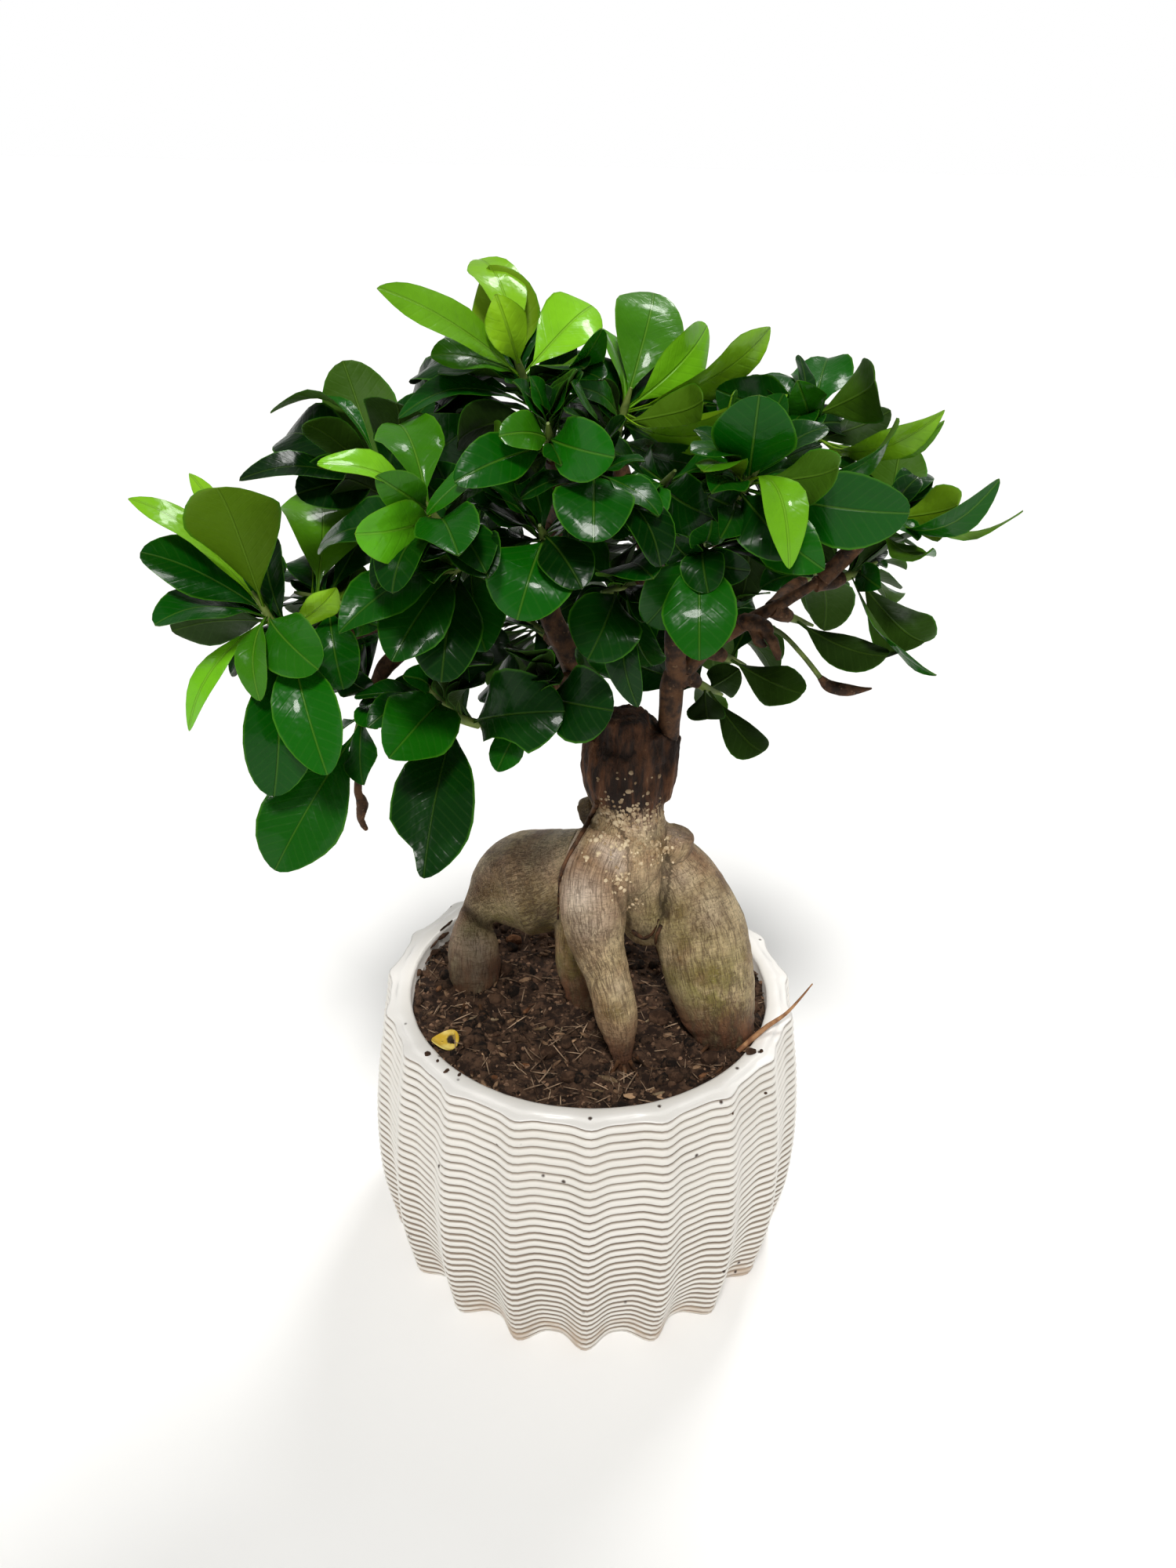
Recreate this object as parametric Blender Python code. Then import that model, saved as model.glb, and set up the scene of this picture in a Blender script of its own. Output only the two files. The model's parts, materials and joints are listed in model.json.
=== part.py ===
"""A ficus ginseng bonsai in its ribbed pot.

The pot holds the soil, the swollen roots stand in the soil and grow up into a short trunk,
the trunk forks into woody twigs, and every twig ends in a green shoot with its leaves.
The pot stands at the origin, +Z is up and the viewer of the picture looks along +Y.
"""

import math
from collections import namedtuple

import bmesh
import bpy
from mathutils import Matrix, Vector, noise
from mathutils.bvhtree import BVHTree

# Driving dimensions, in metres
MM = 0.001
GAP = 0.3 * MM
SPECK = 0.12 * MM

POT_HEIGHT = 0.1062
OPENING_RADIUS = 0.065
CREST_RADII = (0.0751, 0.0795, 0.0803, 0.0782, 0.0745)
FLUTES = 19
FIRST_CREST = math.radians(1.1)
FLUTE_DEPTH_AT_FOOT = 0.0070
FLUTE_DEPTH_AT_RIM = 0.0022
FLUTE_FADING = 0.6
CREST_SHARPNESS = 1.5
COLUMNS_PER_FLUTE = 3
RIBS = 8
RIB_RELIEF = 0.0007
WALL = 0.0072
FLOOR = 0.007
RIM_ROUND = 0.0012
WIDEST_SHARE = 0.45
WIDEST_INSIDE = 0.069

SOIL_LEVEL = 0.1015
SOIL_SINKS = 0.002
CLOD_HEIGHT = 0.0014
CLOD_FINENESS = 90

LEAF_THICKNESS = 0.0008
PETIOLE_WIDTH = 0.0011
PETIOLE_SHARE = 0.10
TWIG_RADIUS = 0.0027
SEAT_RADIUS = 0.0020
STEM_RADIUS = 0.0015
STEM_TIP_LENGTH = 0.006
STEM_SIDES = 4

FALLEN_LEAF_AT = (-0.0497, -0.0302)
FALLEN_LEAF_HALVES = (0.0068, 0.0046)
FALLEN_LEAF_CORNERS = 10

STALK_RADIUS = 0.00055
STALK_FOOT = (0.0500, -0.0360)
STALK_OVER_RIM = (0.0610, -0.0275)
STALK_RISES = (0.0700, -0.0215, 0.1113)
STALK_END = (0.0785, -0.0165, 0.1200)

# The eye and the direction of the picture, which is 1500 across and 2000 down
EYE = Vector((0.0, -0.3485, 0.3756))
LOOKING_DOWN = math.radians(28.2)
TURNED_LEFT = math.radians(0.3)
ROLLED = math.radians(1.11)
FOCAL_LENGTH = 1500
MIDDLE_ACROSS = 750
MIDDLE_DOWN = 1000

# A leaf that the picture shows: how far along its stem it grows, where its tip is seen,
# its length and width in mm, +1 if the tip points at the viewer and -1 if away,
# how far its upper face is turned from the viewer in degrees, and its rise over its length
Leaf = namedtuple("Leaf", "along across down length toward width turn arch")

# A shoot: the woody twig under it and its green stem, as (across, down, depth in mm),
# the leaves that the picture shows, how many more grow by rule and how far those may spread
Shoot = namedtuple("Shoot", "twig stem leaves more spread")


def leaves(*rows):
    return [Leaf(*row) for row in rows]


SHOOTS = {
    "shoot_far_left": Shoot(
        [(700, 775, -4), (640, 748, -6), (560, 768, -9), (480, 795, -12), (420, 815, -14)],
        [(388, 813, -16), (350, 797, -18), (336, 776, -18)],
        leaves(
            (0.95, 276, 607, 42, -1, 27, 170, 0.02),
            (0.80, 182, 700, 39, 1, 22, 45, 0.06),
            (0.90, 178, 622, 42, -1, 13, 60, 0.05),
            (0.88, 243, 590, 46, -1, 8, 20, 0.02),
            (0.70, 200, 783, 36, 1, 20, 55, 0.08),
            (0.60, 222, 800, 34, -1, 20, 140, 0.06),
            (0.65, 237, 930, 38, 1, 8, 30, 0.22),
            (0.80, 324, 886, 28, 1, 11, 60, 0.15),
            (0.50, 352, 1016, 50, 1, 22, -12, 0.10),
            (0.25, 416, 987, 44, 1, 20, 10, 0.10),
            (0.35, 430, 757, 22, 1, 11, 40, 0.05),
            (0.75, 402, 852, 28, 1, 19, 0, 0.14),
        ),
        3, 120),
    "shoot_far_left_inner": Shoot(
        [(520, 781, -11), (480, 783, -10)],
        [(455, 778, -9), (425, 770, -7), (398, 762, -5)],
        leaves(
            (0.40, 452, 722, 28, -1, 14, 150, 0.02),
            (0.90, 410, 628, 42, -1, 27, 10, 0.15),
            (1.00, 388, 661, 32, -1, 8, 70, 0.05),
            (0.60, 436, 876, 30, 1, 16, -20, 0.15),
        ),
        2, 90),
    "shoot_left_hanging": Shoot(
        [(560, 768, -9), (520, 822, -6), (492, 850, -6)],
        [(478, 875, -8), (465, 905, -10), (456, 935, -12)],
        leaves(
            (0.90, 350, 1110, 50, 1, 27, 10, 0.10),
            (0.55, 461, 1000, 26, 1, 12, 40, 0.05),
            (0.30, 476, 922, 20, 1, 11, 20, 0.05),
        ),
        1, 90),
    "shoot_left_low": Shoot(
        [(745, 878, 0), (690, 893, -6), (640, 914, -12)],
        [(612, 924, -15), (585, 915, -18), (565, 897, -20), (546, 878, -21)],
        leaves(
            (0.70, 497, 966, 36, 1, 24, 5, 0.15),
            (0.35, 540, 1120, 54, 1, 28, 5, 0.08),
            (1.00, 520, 862, 18, 1, 9, 10, 0.10),
            (0.90, 474, 918, 26, 1, 11, 30, 0.05),
            (0.10, 706, 906, 32, 1, 27, -10, 0.12),
        ),
        1, 90),
    "shoot_low_middle": Shoot(
        [(735, 862, -1), (716, 872, -10)],
        [(702, 880, -16), (690, 890, -22), (680, 897, -26)],
        leaves(
            (0.50, 774, 905, 28, 1, 23, 0, 0.05),
            (0.80, 622, 862, 28, -1, 18, 10, 0.10),
        ),
        1, 110),
    "shoot_left_middle": Shoot(
        [(640, 748, -6), (622, 735, -16)],
        [(608, 725, -24), (592, 722, -30), (575, 730, -34)],
        leaves(
            (0.30, 432, 806, 46, 1, 17, 40, 0.15),
            (0.80, 500, 842, 36, 1, 20, 20, 0.10),
            (0.60, 562, 866, 36, 1, 20, 10, 0.10),
            (0.20, 616, 826, 30, 1, 18, 15, 0.10),
        ),
        2, 90),
    "shoot_left_front": Shoot(
        [(699, 712, -5), (655, 702, -20), (624, 704, -31)],
        [(598, 696, -38), (566, 675, -44), (542, 645, -47)],
        leaves(
            (0.95, 405, 591, 34, 1, 12, 60, 0.12),
            (0.90, 508, 540, 32, -1, 19, 15, 0.20),
            (0.80, 458, 683, 29, 1, 17, -25, 0.10),
            (0.90, 487, 612, 24, 1, 11, 30, 0.10),
            (0.60, 598, 658, 20, 1, 8, 50, 0.05),
            (0.85, 636, 540, 36, -1, 15, 75, 0.12),
            (0.50, 402, 690, 42, 1, 20, 50, 0.08),
        ),
        1, 90),
    "shoot_left_upper": Shoot(
        [(580, 762, -8), (560, 715, 0), (536, 682, 4)],
        [(515, 658, 6), (497, 632, 6), (484, 607, 6)],
        leaves(
            (0.90, 440, 466, 42, -1, 24, 175, 0.05),
            (0.95, 350, 512, 44, -1, 11, 70, 0.25),
            (0.70, 388, 531, 36, 1, 13, 150, 0.05),
            (0.60, 512, 503, 36, 1, 24, 165, 0.08),
            (0.50, 312, 595, 50, 1, 13, 65, 0.08),
            (0.40, 432, 606, 28, 1, 16, 150, 0.05),
        ),
        2, 110),
    "shoot_top_left": Shoot(
        [(708, 640, -5), (716, 600, -3)],
        [(706, 562, 0), (690, 530, -2), (673, 500, -4), (663, 470, -6)],
        leaves(
            (0.90, 612, 322, 42, -1, 18, 60, 0.15),
            (0.93, 630, 348, 33, -1, 20, 170, 0.05),
            (1.00, 634, 378, 24, 1, 12, 10, 0.05),
            (0.88, 758, 385, 36, -1, 18, -15, 0.08),
            (0.85, 487, 363, 51, 1, 14, 30, 0.05),
            (0.90, 554, 447, 31, 1, 14, 50, 0.05),
            (0.72, 769, 424, 35, 1, 15, 70, 0.10),
            (0.60, 540, 488, 34, -1, 12, 60, 0.05),
            (0.40, 512, 512, 42, 1, 13, 65, 0.12),
            (0.30, 580, 560, 36, 1, 15, 150, 0.10),
        ),
        2, 90),
    "shoot_top_right": Shoot(
        [(862, 800, -4), (838, 735, 0), (812, 665, 3), (796, 612, 5)],
        [(788, 582, 5), (787, 552, 5), (797, 520, 4)],
        leaves(
            (0.90, 838, 363, 43, -1, 22, 5, 0.10),
            (0.95, 768, 418, 30, -1, 14, 70, 0.10),
            (0.90, 986, 421, 50, -1, 17, 45, 0.10),
            (0.95, 905, 416, 36, -1, 16, 30, 0.10),
            (0.90, 940, 515, 38, 1, 20, 150, 0.28),
            (0.85, 997, 520, 47, 1, 13, 40, 0.20),
            (0.80, 752, 484, 18, 1, 10, 150, 0.05),
            (0.60, 728, 486, 26, 1, 9, 70, 0.12),
            (0.70, 905, 515, 31, 1, 16, 160, 0.05),
            (0.40, 905, 598, 34, 1, 17, 35, 0.05),
        ),
        1, 110),
    "shoot_right_front": Shoot(
        [(866, 750, -8), (885, 700, -14), (912, 662, -23)],
        [(930, 642, -29), (945, 626, -33), (957, 610, -36)],
        leaves(
            (0.90, 968, 508, 29, -1, 22, 0, 0.06),
            (0.70, 900, 591, 24, 1, 13, 110, 0.10),
            (0.95, 1152, 548, 45, -1, 15, 65, 0.15),
            (0.90, 1008, 722, 32, 1, 12, -30, 0.34),
            (0.80, 1078, 600, 31, 1, 15, 160, 0.05),
            (0.45, 1003, 700, 27, 1, 17, 0, 0.10),
            (0.20, 1042, 722, 34, 1, 16, 20, 0.10),
            (0.60, 1160, 656, 48, 1, 21, 20, 0.08),
        ),
        1, 90),
    "shoot_right_upper": Shoot(
        [(892, 690, -15), (950, 655, 0), (1008, 608, 10)],
        [(1030, 580, 13), (1036, 552, 14), (1031, 527, 14)],
        leaves(
            (0.90, 1127, 484, 31, 1, 19, 165, 0.10),
            (0.60, 1018, 488, 24, 1, 13, 10, 0.10),
            (0.50, 1202, 532, 44, 1, 12, 50, 0.20),
            (0.40, 1199, 556, 44, 1, 12, 60, 0.10),
            (0.95, 1021, 451, 22, -1, 8, 50, 0.02),
            (0.30, 1135, 528, 26, -1, 13, 150, 0.05),
        ),
        1, 100),
    "shoot_right_end": Shoot(
        [(1050, 738, 5), (1078, 710, 4)],
        [(1100, 690, 2), (1120, 671, 0), (1135, 655, -2)],
        leaves(
            (0.90, 1150, 563, 26, -1, 18, 170, 0.05),
            (0.85, 1271, 630, 37, 1, 11, 55, 0.20),
            (0.80, 1226, 646, 28, 1, 17, 150, 0.08),
            (0.90, 1303, 668, 43, 1, 10, 65, 0.10),
            (0.50, 1189, 712, 24, 1, 11, 130, 0.15),
        ),
        1, 90),
    "shoot_right_low": Shoot(
        [(1040, 745, 5), (1062, 741, 7)],
        [(1076, 737, 8), (1088, 732, 9), (1098, 727, 10)],
        leaves(
            (0.60, 1180, 822, 37, 1, 20, 165, 0.20),
            (0.35, 1184, 868, 47, 1, 9, 110, 0.05),
            (0.90, 1118, 747, 16, 1, 10, 10, 0.10),
        ),
        1, 80),
    "leaf_right_arm_outer": Shoot(
        [(985, 777, 5), (998, 783, 6)],
        [(1007, 787, 7), (1018, 791, 8)],
        leaves((0.50, 1131, 838, 36, 1, 15, 160, 0.12)),
        0, 80),
    "leaf_right_arm_inner": Shoot(
        [(900, 828, 2), (914, 833, 3)],
        [(923, 837, 4), (933, 841, 5)],
        leaves((0.50, 1025, 888, 31, 1, 15, 165, 0.08)),
        0, 80),
    "shoot_near_trunk": Shoot(
        [(868, 858, 0), (882, 866, 2)],
        [(890, 871, 3), (898, 876, 4), (905, 879, 5)],
        leaves(
            (0.90, 938, 858, 18, -1, 13, 170, 0.05),
            (0.55, 902, 920, 16, 1, 13, 175, 0.05),
            (0.80, 974, 968, 33, 1, 13, 165, 0.10),
            (0.30, 838, 894, 18, 1, 10, 20, 0.10),
        ),
        1, 60),
    "shoot_centre_right": Shoot(
        [(866, 750, -8), (880, 724, -18)],
        [(887, 712, -24), (892, 700, -28), (896, 690, -30)],
        leaves(
            (0.50, 892, 833, 34, 1, 21, 0, 0.10),
            (0.90, 902, 752, 18, 1, 13, 10, 0.10),
            (0.70, 828, 796, 30, 1, 18, -15, 0.10),
        ),
        1, 90),
    "shoot_centre": Shoot(
        [(838, 735, 0), (820, 742, -10)],
        [(808, 747, -16), (795, 750, -20), (784, 752, -23)],
        leaves(
            (0.90, 756, 832, 28, 1, 21, -10, 0.10),
            (0.60, 722, 702, 24, -1, 18, 10, 0.05),
            (0.30, 804, 897, 36, 1, 12, 30, 0.10),
        ),
        2, 90),
    "shoot_centre_left": Shoot(
        [(699, 722, -5), (698, 706, -24)],
        [(697, 697, -32), (695, 688, -37), (692, 680, -41)],
        leaves(
            (0.60, 662, 779, 28, 1, 24, 5, 0.15),
            (0.90, 742, 748, 24, 1, 15, -20, 0.10),
        ),
        2, 120),
    "shoot_middle_front": Shoot(
        [(706, 660, -5), (732, 632, -24)],
        [(745, 620, -33), (756, 608, -38), (764, 598, -41)],
        leaves(
            (0.60, 757, 691, 26, 1, 21, 0, 0.15),
            (0.40, 664, 634, 22, 1, 9, 60, 0.10),
        ),
        2, 120),
    "shoot_upper_front": Shoot(
        [(716, 600, -3), (708, 592, -22)],
        [(704, 583, -32), (701, 570, -37), (700, 556, -41)],
        leaves(
            (0.90, 776, 583, 25, 1, 16, 10, 0.10),
            (0.80, 642, 553, 18, 1, 11, 30, 0.12),
            (0.50, 582, 612, 31, 1, 14, 20, 0.10),
            (0.35, 543, 652, 39, 1, 12, 60, 0.10),
        ),
        1, 120),
    "shoot_right_inner": Shoot(
        [(812, 665, 3), (824, 645, -10)],
        [(832, 635, -17), (842, 624, -22), (850, 614, -25)],
        leaves(
            (0.70, 908, 660, 24, 1, 17, 20, 0.10),
            (0.90, 812, 590, 20, -1, 14, 0, 0.10),
        ),
        3, 90),
    "shoot_back_left": Shoot(
        [(699, 720, -5), (655, 702, 20)], [(630, 692, 32), (606, 678, 40), (590, 660, 44)], [], 7, 130),
    "shoot_back_left_low": Shoot(
        [(728, 842, -2), (712, 822, 16)], [(700, 812, 26), (684, 800, 35), (668, 785, 41)], [], 6, 105),
    "shoot_back_middle": Shoot(
        [(708, 660, -5), (722, 640, 22)], [(730, 628, 34), (736, 612, 44), (738, 594, 50)], [], 7, 120),
    "shoot_back_centre": Shoot(
        [(866, 756, -8), (840, 728, 22)], [(832, 716, 34), (826, 700, 46), (822, 682, 54)], [], 8, 130),
    "shoot_back_right": Shoot(
        [(892, 690, -15), (935, 680, 18)], [(952, 674, 30), (972, 664, 40), (988, 648, 46)], [], 6, 125),
    "shoot_back_right_arm": Shoot(
        [(985, 777, 5), (1010, 752, 22)], [(1024, 742, 32), (1040, 728, 40), (1052, 712, 45)], [], 4, 105),
    "shoot_back_fork": Shoot(
        [(868, 852, 0), (884, 826, 18)], [(892, 815, 28), (902, 800, 38), (908, 784, 44)], [], 5, 105),
}

# Woody branches and the dry bud on its stalk, as (across, down, depth in mm, radius in mm)
BRANCHES = {
    "left": [(772, 950, 4, 6.0), (750, 893, 1, 4.4), (727, 838, -2, 3.9), (700, 778, -4, 3.6),
             (699, 720, -5, 3.2), (708, 660, -5, 2.9), (717, 596, -3, 2.4)],
    "right": [(855, 985, 0, 5.2), (858, 930, 0, 4.5), (862, 868, 0, 4.7), (868, 852, 0, 4.0)],
    "right_arm": [(862, 870, 0, 3.8), (900, 828, 2, 3.5), (945, 798, 4, 3.2),
                  (1000, 768, 5, 2.8), (1056, 734, 5, 2.3)],
    "inner_arm": [(865, 872, 0, 3.6), (860, 812, -4, 3.1), (866, 752, -8, 2.8), (892, 690, -15, 2.3)],
    "bud_stalk": [(958, 793, 4, 0.9), (994, 806, 4, 0.8), (1024, 836, 0, 0.8), (1050, 866, -2, 0.8),
                  (1062, 877, -2, 1.8), (1084, 881, -3, 1.7), (1112, 878, -4, 0.5)],
    "bud_sheath": [(948, 797, 4, 2.6), (968, 800, 2, 2.4), (974, 822, -1, 1.6), (992, 842, -3, 0.8)],
}

# Swollen roots and trunk, as (across, down, depth in mm, radius in mm)
LIMBS = {
    "trunk": [(799, 922, 3, 16.6), (802, 946, 3, 17.4), (803, 978, 2, 17.4), (802, 1010, 0, 14.2),
              (803, 1036, -1, 11.6), (800, 1062, -2, 14.0), (798, 1092, -3, 15.5), (806, 1120, -1, 13.5)],
    "cut_top": [(799, 935, 3, 14.5), (798, 911, 3, 13.0)],
    "right_shoulder": [(835, 1010, 0, 6.0), (856, 972, 0, 5.4), (858, 940, 0, 4.8)],
    "middle": [(812, 1090, 0, 13.5), (824, 1130, 3, 12.0), (826, 1165, 5, 9.5), (822, 1186, 6, 6.5)],
    "front_root": [(778, 1072, -7, 11.5), (758, 1118, -15, 11.3), (757, 1165, -21, 11.2),
                   (765, 1210, -26, 9.6), (779, 1258, -32, 7.6), (788, 1306, -37, 6.3),
                   (793, 1342, -41, 5.0), (796, 1376, -44, 4.2)],
    "right_root": [(848, 1086, 0, 9.5), (874, 1126, -3, 12.6), (891, 1176, -8, 15.8), (902, 1228, -14, 16.2),
                   (913, 1278, -19, 14.2), (924, 1318, -23, 10.8), (929, 1352, -26, 7.8)],
    "left_root": [(762, 1098, 6, 13.0), (718, 1114, 15, 16.8), (676, 1126, 21, 19.2), (640, 1138, 20, 15.6),
                  (612, 1168, 13, 9.6), (602, 1202, 7, 8.4), (601, 1234, 4, 8.6), (606, 1270, 1, 8.0),
                  (608, 1292, 0, 6.8)],
    "back_root": [(764, 1120, 6, 10.5), (742, 1172, 3, 9.2), (737, 1222, -2, 8.2), (747, 1268, -6, 7.2),
                  (752, 1292, -8, 6.2)],
    "left_knob": [(765, 1036, 8, 7.0), (748, 1040, 9, 6.6)],
    "right_knob": [(840, 1082, -2, 6.0), (866, 1076, -3, 5.4)],
}

LIMB_VOXEL = 1.1 * MM
LIMB_STEPS = 4
LIMB_SIDES = 14
BRANCH_SIDES = 6
TRUNK_FACES = 1150


def view_axes():
    """The directions of the picture's depth, right and top."""
    look = Vector((-math.sin(TURNED_LEFT) * math.cos(LOOKING_DOWN),
                   math.cos(TURNED_LEFT) * math.cos(LOOKING_DOWN), -math.sin(LOOKING_DOWN)))
    level = Vector((math.cos(TURNED_LEFT), math.sin(TURNED_LEFT), 0))
    upright = level.cross(look)
    right = level * math.cos(ROLLED) + upright * math.sin(ROLLED)
    top = upright * math.cos(ROLLED) - level * math.sin(ROLLED)
    return look, right, top


def sight_direction(across, down):
    """The direction in which a place of the picture is seen from the eye."""
    look, right, top = view_axes()
    aside = (across - MIDDLE_ACROSS) / FOCAL_LENGTH
    below = (down - MIDDLE_DOWN) / FOCAL_LENGTH
    return (look + right * aside - top * below).normalized()


def seen_at(across, down, depth):
    """The point of the plane y = depth, in mm, that is seen at a place of the picture."""
    direction = sight_direction(across, down)
    return EYE + direction * ((depth * MM - EYE.y) / direction.y)


def place_in_picture(point):
    """Where the picture shows a point, as (across, down)."""
    look, right, top = view_axes()
    line = point - EYE
    scale = FOCAL_LENGTH / line.dot(look)
    return Vector((MIDDLE_ACROSS + line.dot(right) * scale, MIDDLE_DOWN - line.dot(top) * scale))


def empty_the_scene():
    for thing in list(bpy.data.objects):
        bpy.data.objects.remove(thing, do_unlink=True)


def make_material(name, colour, roughness):
    material = bpy.data.materials.new(name)
    material.use_nodes = True
    shader = material.node_tree.nodes["Principled BSDF"]
    shader.inputs["Base Color"].default_value = (*colour, 1.0)
    shader.inputs["Roughness"].default_value = roughness
    shader.inputs["Metallic"].default_value = 0.0
    return material


def make_object(name, points, faces, material=None):
    """A mesh object whose faces are triangles that point outwards."""
    mesh = bpy.data.meshes.new(name)
    mesh.from_pydata([tuple(point) for point in points], [], faces)
    work = bmesh.new()
    work.from_mesh(mesh)
    bmesh.ops.triangulate(work, faces=work.faces)
    bmesh.ops.recalc_face_normals(work, faces=work.faces)
    work.to_mesh(mesh)
    work.free()
    if material:
        mesh.materials.append(material)
    thing = bpy.data.objects.new(name, mesh)
    bpy.context.scene.collection.objects.link(thing)
    return thing


def shade_round(thing, sharp_angle=40):
    thing.data.shade_smooth()
    thing.data.set_sharp_from_angle(angle=math.radians(sharp_angle))


def apply_modifiers(thing):
    """Keep the shape that the modifiers give and take them off."""
    depsgraph = bpy.context.evaluated_depsgraph_get()
    shaped = bpy.data.meshes.new_from_object(thing.evaluated_get(depsgraph))
    plain = thing.data
    thing.modifiers.clear()
    thing.data = shaped
    bpy.data.meshes.remove(plain)


def grow_together(thing, pieces):
    """Join loose pieces to the thing that they grow from, in one closed body."""
    group = bpy.data.collections.new("grown pieces")
    bpy.context.scene.collection.children.link(group)
    for piece in pieces:
        group.objects.link(piece)
    join = thing.modifiers.new("grow together", "BOOLEAN")
    join.operation = "UNION"
    join.operand_type = "COLLECTION"
    join.collection = group
    join.solver = "EXACT"
    apply_modifiers(thing)
    for piece in pieces:
        bpy.data.objects.remove(piece, do_unlink=True)
    bpy.data.collections.remove(group)


def drop_specks(work):
    """Close up edges shorter than a speck, as long as the mesh stays closed."""
    bmesh.ops.triangulate(work, faces=work.faces)
    for length in (SPECK, SPECK / 2, SPECK / 6):
        trial = work.copy()
        bmesh.ops.dissolve_degenerate(trial, dist=length, edges=trial.edges)
        if all(edge.is_manifold for edge in trial.edges):
            work.free()
            return trial
        trial.free()
    return work


def drop_scraps(thing):
    """Keep only the largest body of a mesh: sealed hollows, loose crumbs and specks of faces go."""
    work = bmesh.new()
    work.from_mesh(thing.data)
    work = drop_specks(work)
    bodies = []
    left = set(work.verts)
    while left:
        body = set()
        edge = {left.pop()}
        while edge:
            vertex = edge.pop()
            body.add(vertex)
            edge |= {link.other_vert(vertex) for link in vertex.link_edges} - body
        left -= body
        bodies.append(body)
    largest = max(bodies, key=len)
    crumbs = [vertex for body in bodies if body is not largest for vertex in body]
    bmesh.ops.delete(work, geom=crumbs, context="VERTS")
    work.to_mesh(thing.data)
    work.free()


def cut_away(thing, cutter):
    """Take the cutter's room out of a thing."""
    cut = thing.modifiers.new("cut", "BOOLEAN")
    cut.operation = "DIFFERENCE"
    cut.object = cutter
    cut.solver = "EXACT"
    apply_modifiers(thing)
    bpy.data.objects.remove(cutter, do_unlink=True)


def surface_of(thing):
    """The surface of an object, for finding what touches it."""
    points = [vertex.co for vertex in thing.data.vertices]
    return BVHTree.FromPolygons(points, [tuple(face.vertices) for face in thing.data.polygons])


def smooth_route(knots, radii, steps):
    """Stations (centre, tangent, radius) of a smooth curve through the knots."""
    places = [knots[0] * 2 - knots[1], *knots, knots[-1] * 2 - knots[-2]]
    sizes = [radii[0], *radii, radii[-1]]
    stations = []
    for span in range(len(knots) - 1):
        last = span == len(knots) - 2
        for step in range(steps + (1 if last else 0)):
            u = step / steps
            weights = ((2 * u ** 2 - u - u ** 3) / 2, (2 - 5 * u ** 2 + 3 * u ** 3) / 2,
                       (u + 4 * u ** 2 - 3 * u ** 3) / 2, (u ** 3 - u ** 2) / 2)
            slopes = ((4 * u - 1 - 3 * u ** 2) / 2, (9 * u ** 2 - 10 * u) / 2,
                      (1 + 8 * u - 9 * u ** 2) / 2, (3 * u ** 2 - 2 * u) / 2)
            centre = sum((places[span + n] * weights[n] for n in range(4)), Vector())
            tangent = sum((places[span + n] * slopes[n] for n in range(4)), Vector())
            radius = sum(sizes[span + n] * weights[n] for n in range(4))
            stations.append((centre, tangent.normalized(), radius))
    return stations


def tube(name, stations, sides, material=None):
    """A closed round bar through stations of (centre, tangent, radius)."""
    points = []
    aside = stations[0][1].orthogonal().normalized()
    for centre, tangent, radius in stations:
        aside = (aside - tangent * aside.dot(tangent)).normalized()
        across = tangent.cross(aside)
        for side in range(sides):
            angle = 2 * math.pi * side / sides
            points.append(centre + (aside * math.cos(angle) + across * math.sin(angle)) * radius)
    faces = [tuple(range(sides))]
    for ring in range(len(stations) - 1):
        for side in range(sides):
            low = ring * sides + side
            high = ring * sides + (side + 1) % sides
            faces.append((low, high, high + sides, low + sides))
    faces.append(tuple(range(len(points) - sides, len(points))))
    return make_object(name, points, faces, material)


def grown_bar(name, knots, steps, sides):
    """A tapered bar through knots of (across, down, depth, radius), the last two in mm."""
    centres = [seen_at(across, down, depth) for across, down, depth, radius in knots]
    radii = [knot[3] * MM for knot in knots]
    return tube(name, smooth_route(centres, radii, steps), sides)


def crest_radius(share):
    """The pot's outer radius along a flute's crest, at a share of its height."""
    last = len(CREST_RADII) - 1
    place = share * last
    span = min(int(place), last - 1)
    u = place - span
    a, b, c, d = (CREST_RADII[min(max(span + step, 0), last)] for step in (-1, 0, 1, 2))
    return (2 * b + (c - a) * u + (2 * a - 5 * b + 4 * c - d) * u ** 2
            + (3 * b - a - 3 * c + d) * u ** 3) / 2


def flute_depth(share):
    """How far a flute's valley lies behind its crest, deepest at the foot."""
    return FLUTE_DEPTH_AT_FOOT + (FLUTE_DEPTH_AT_RIM - FLUTE_DEPTH_AT_FOOT) * share ** FLUTE_FADING


def outer_radius(share, angle):
    """The fluted wall: narrow round crests with wide shallow valleys between them."""
    crest = ((1 + math.cos(FLUTES * (angle - FIRST_CREST))) / 2) ** CREST_SHARPNESS
    return crest_radius(share) - flute_depth(share) * (1 - crest)


def inner_radius(share):
    """The pot's round inner wall below the rim, which follows its belly."""
    return min(crest_radius(share) - flute_depth(share) - WALL, WIDEST_INSIDE)


def around(radius, angle, height):
    """A point of the pot, with the angle counted from the viewer's side."""
    return Vector((radius * math.sin(angle), -radius * math.cos(angle), height))


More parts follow.
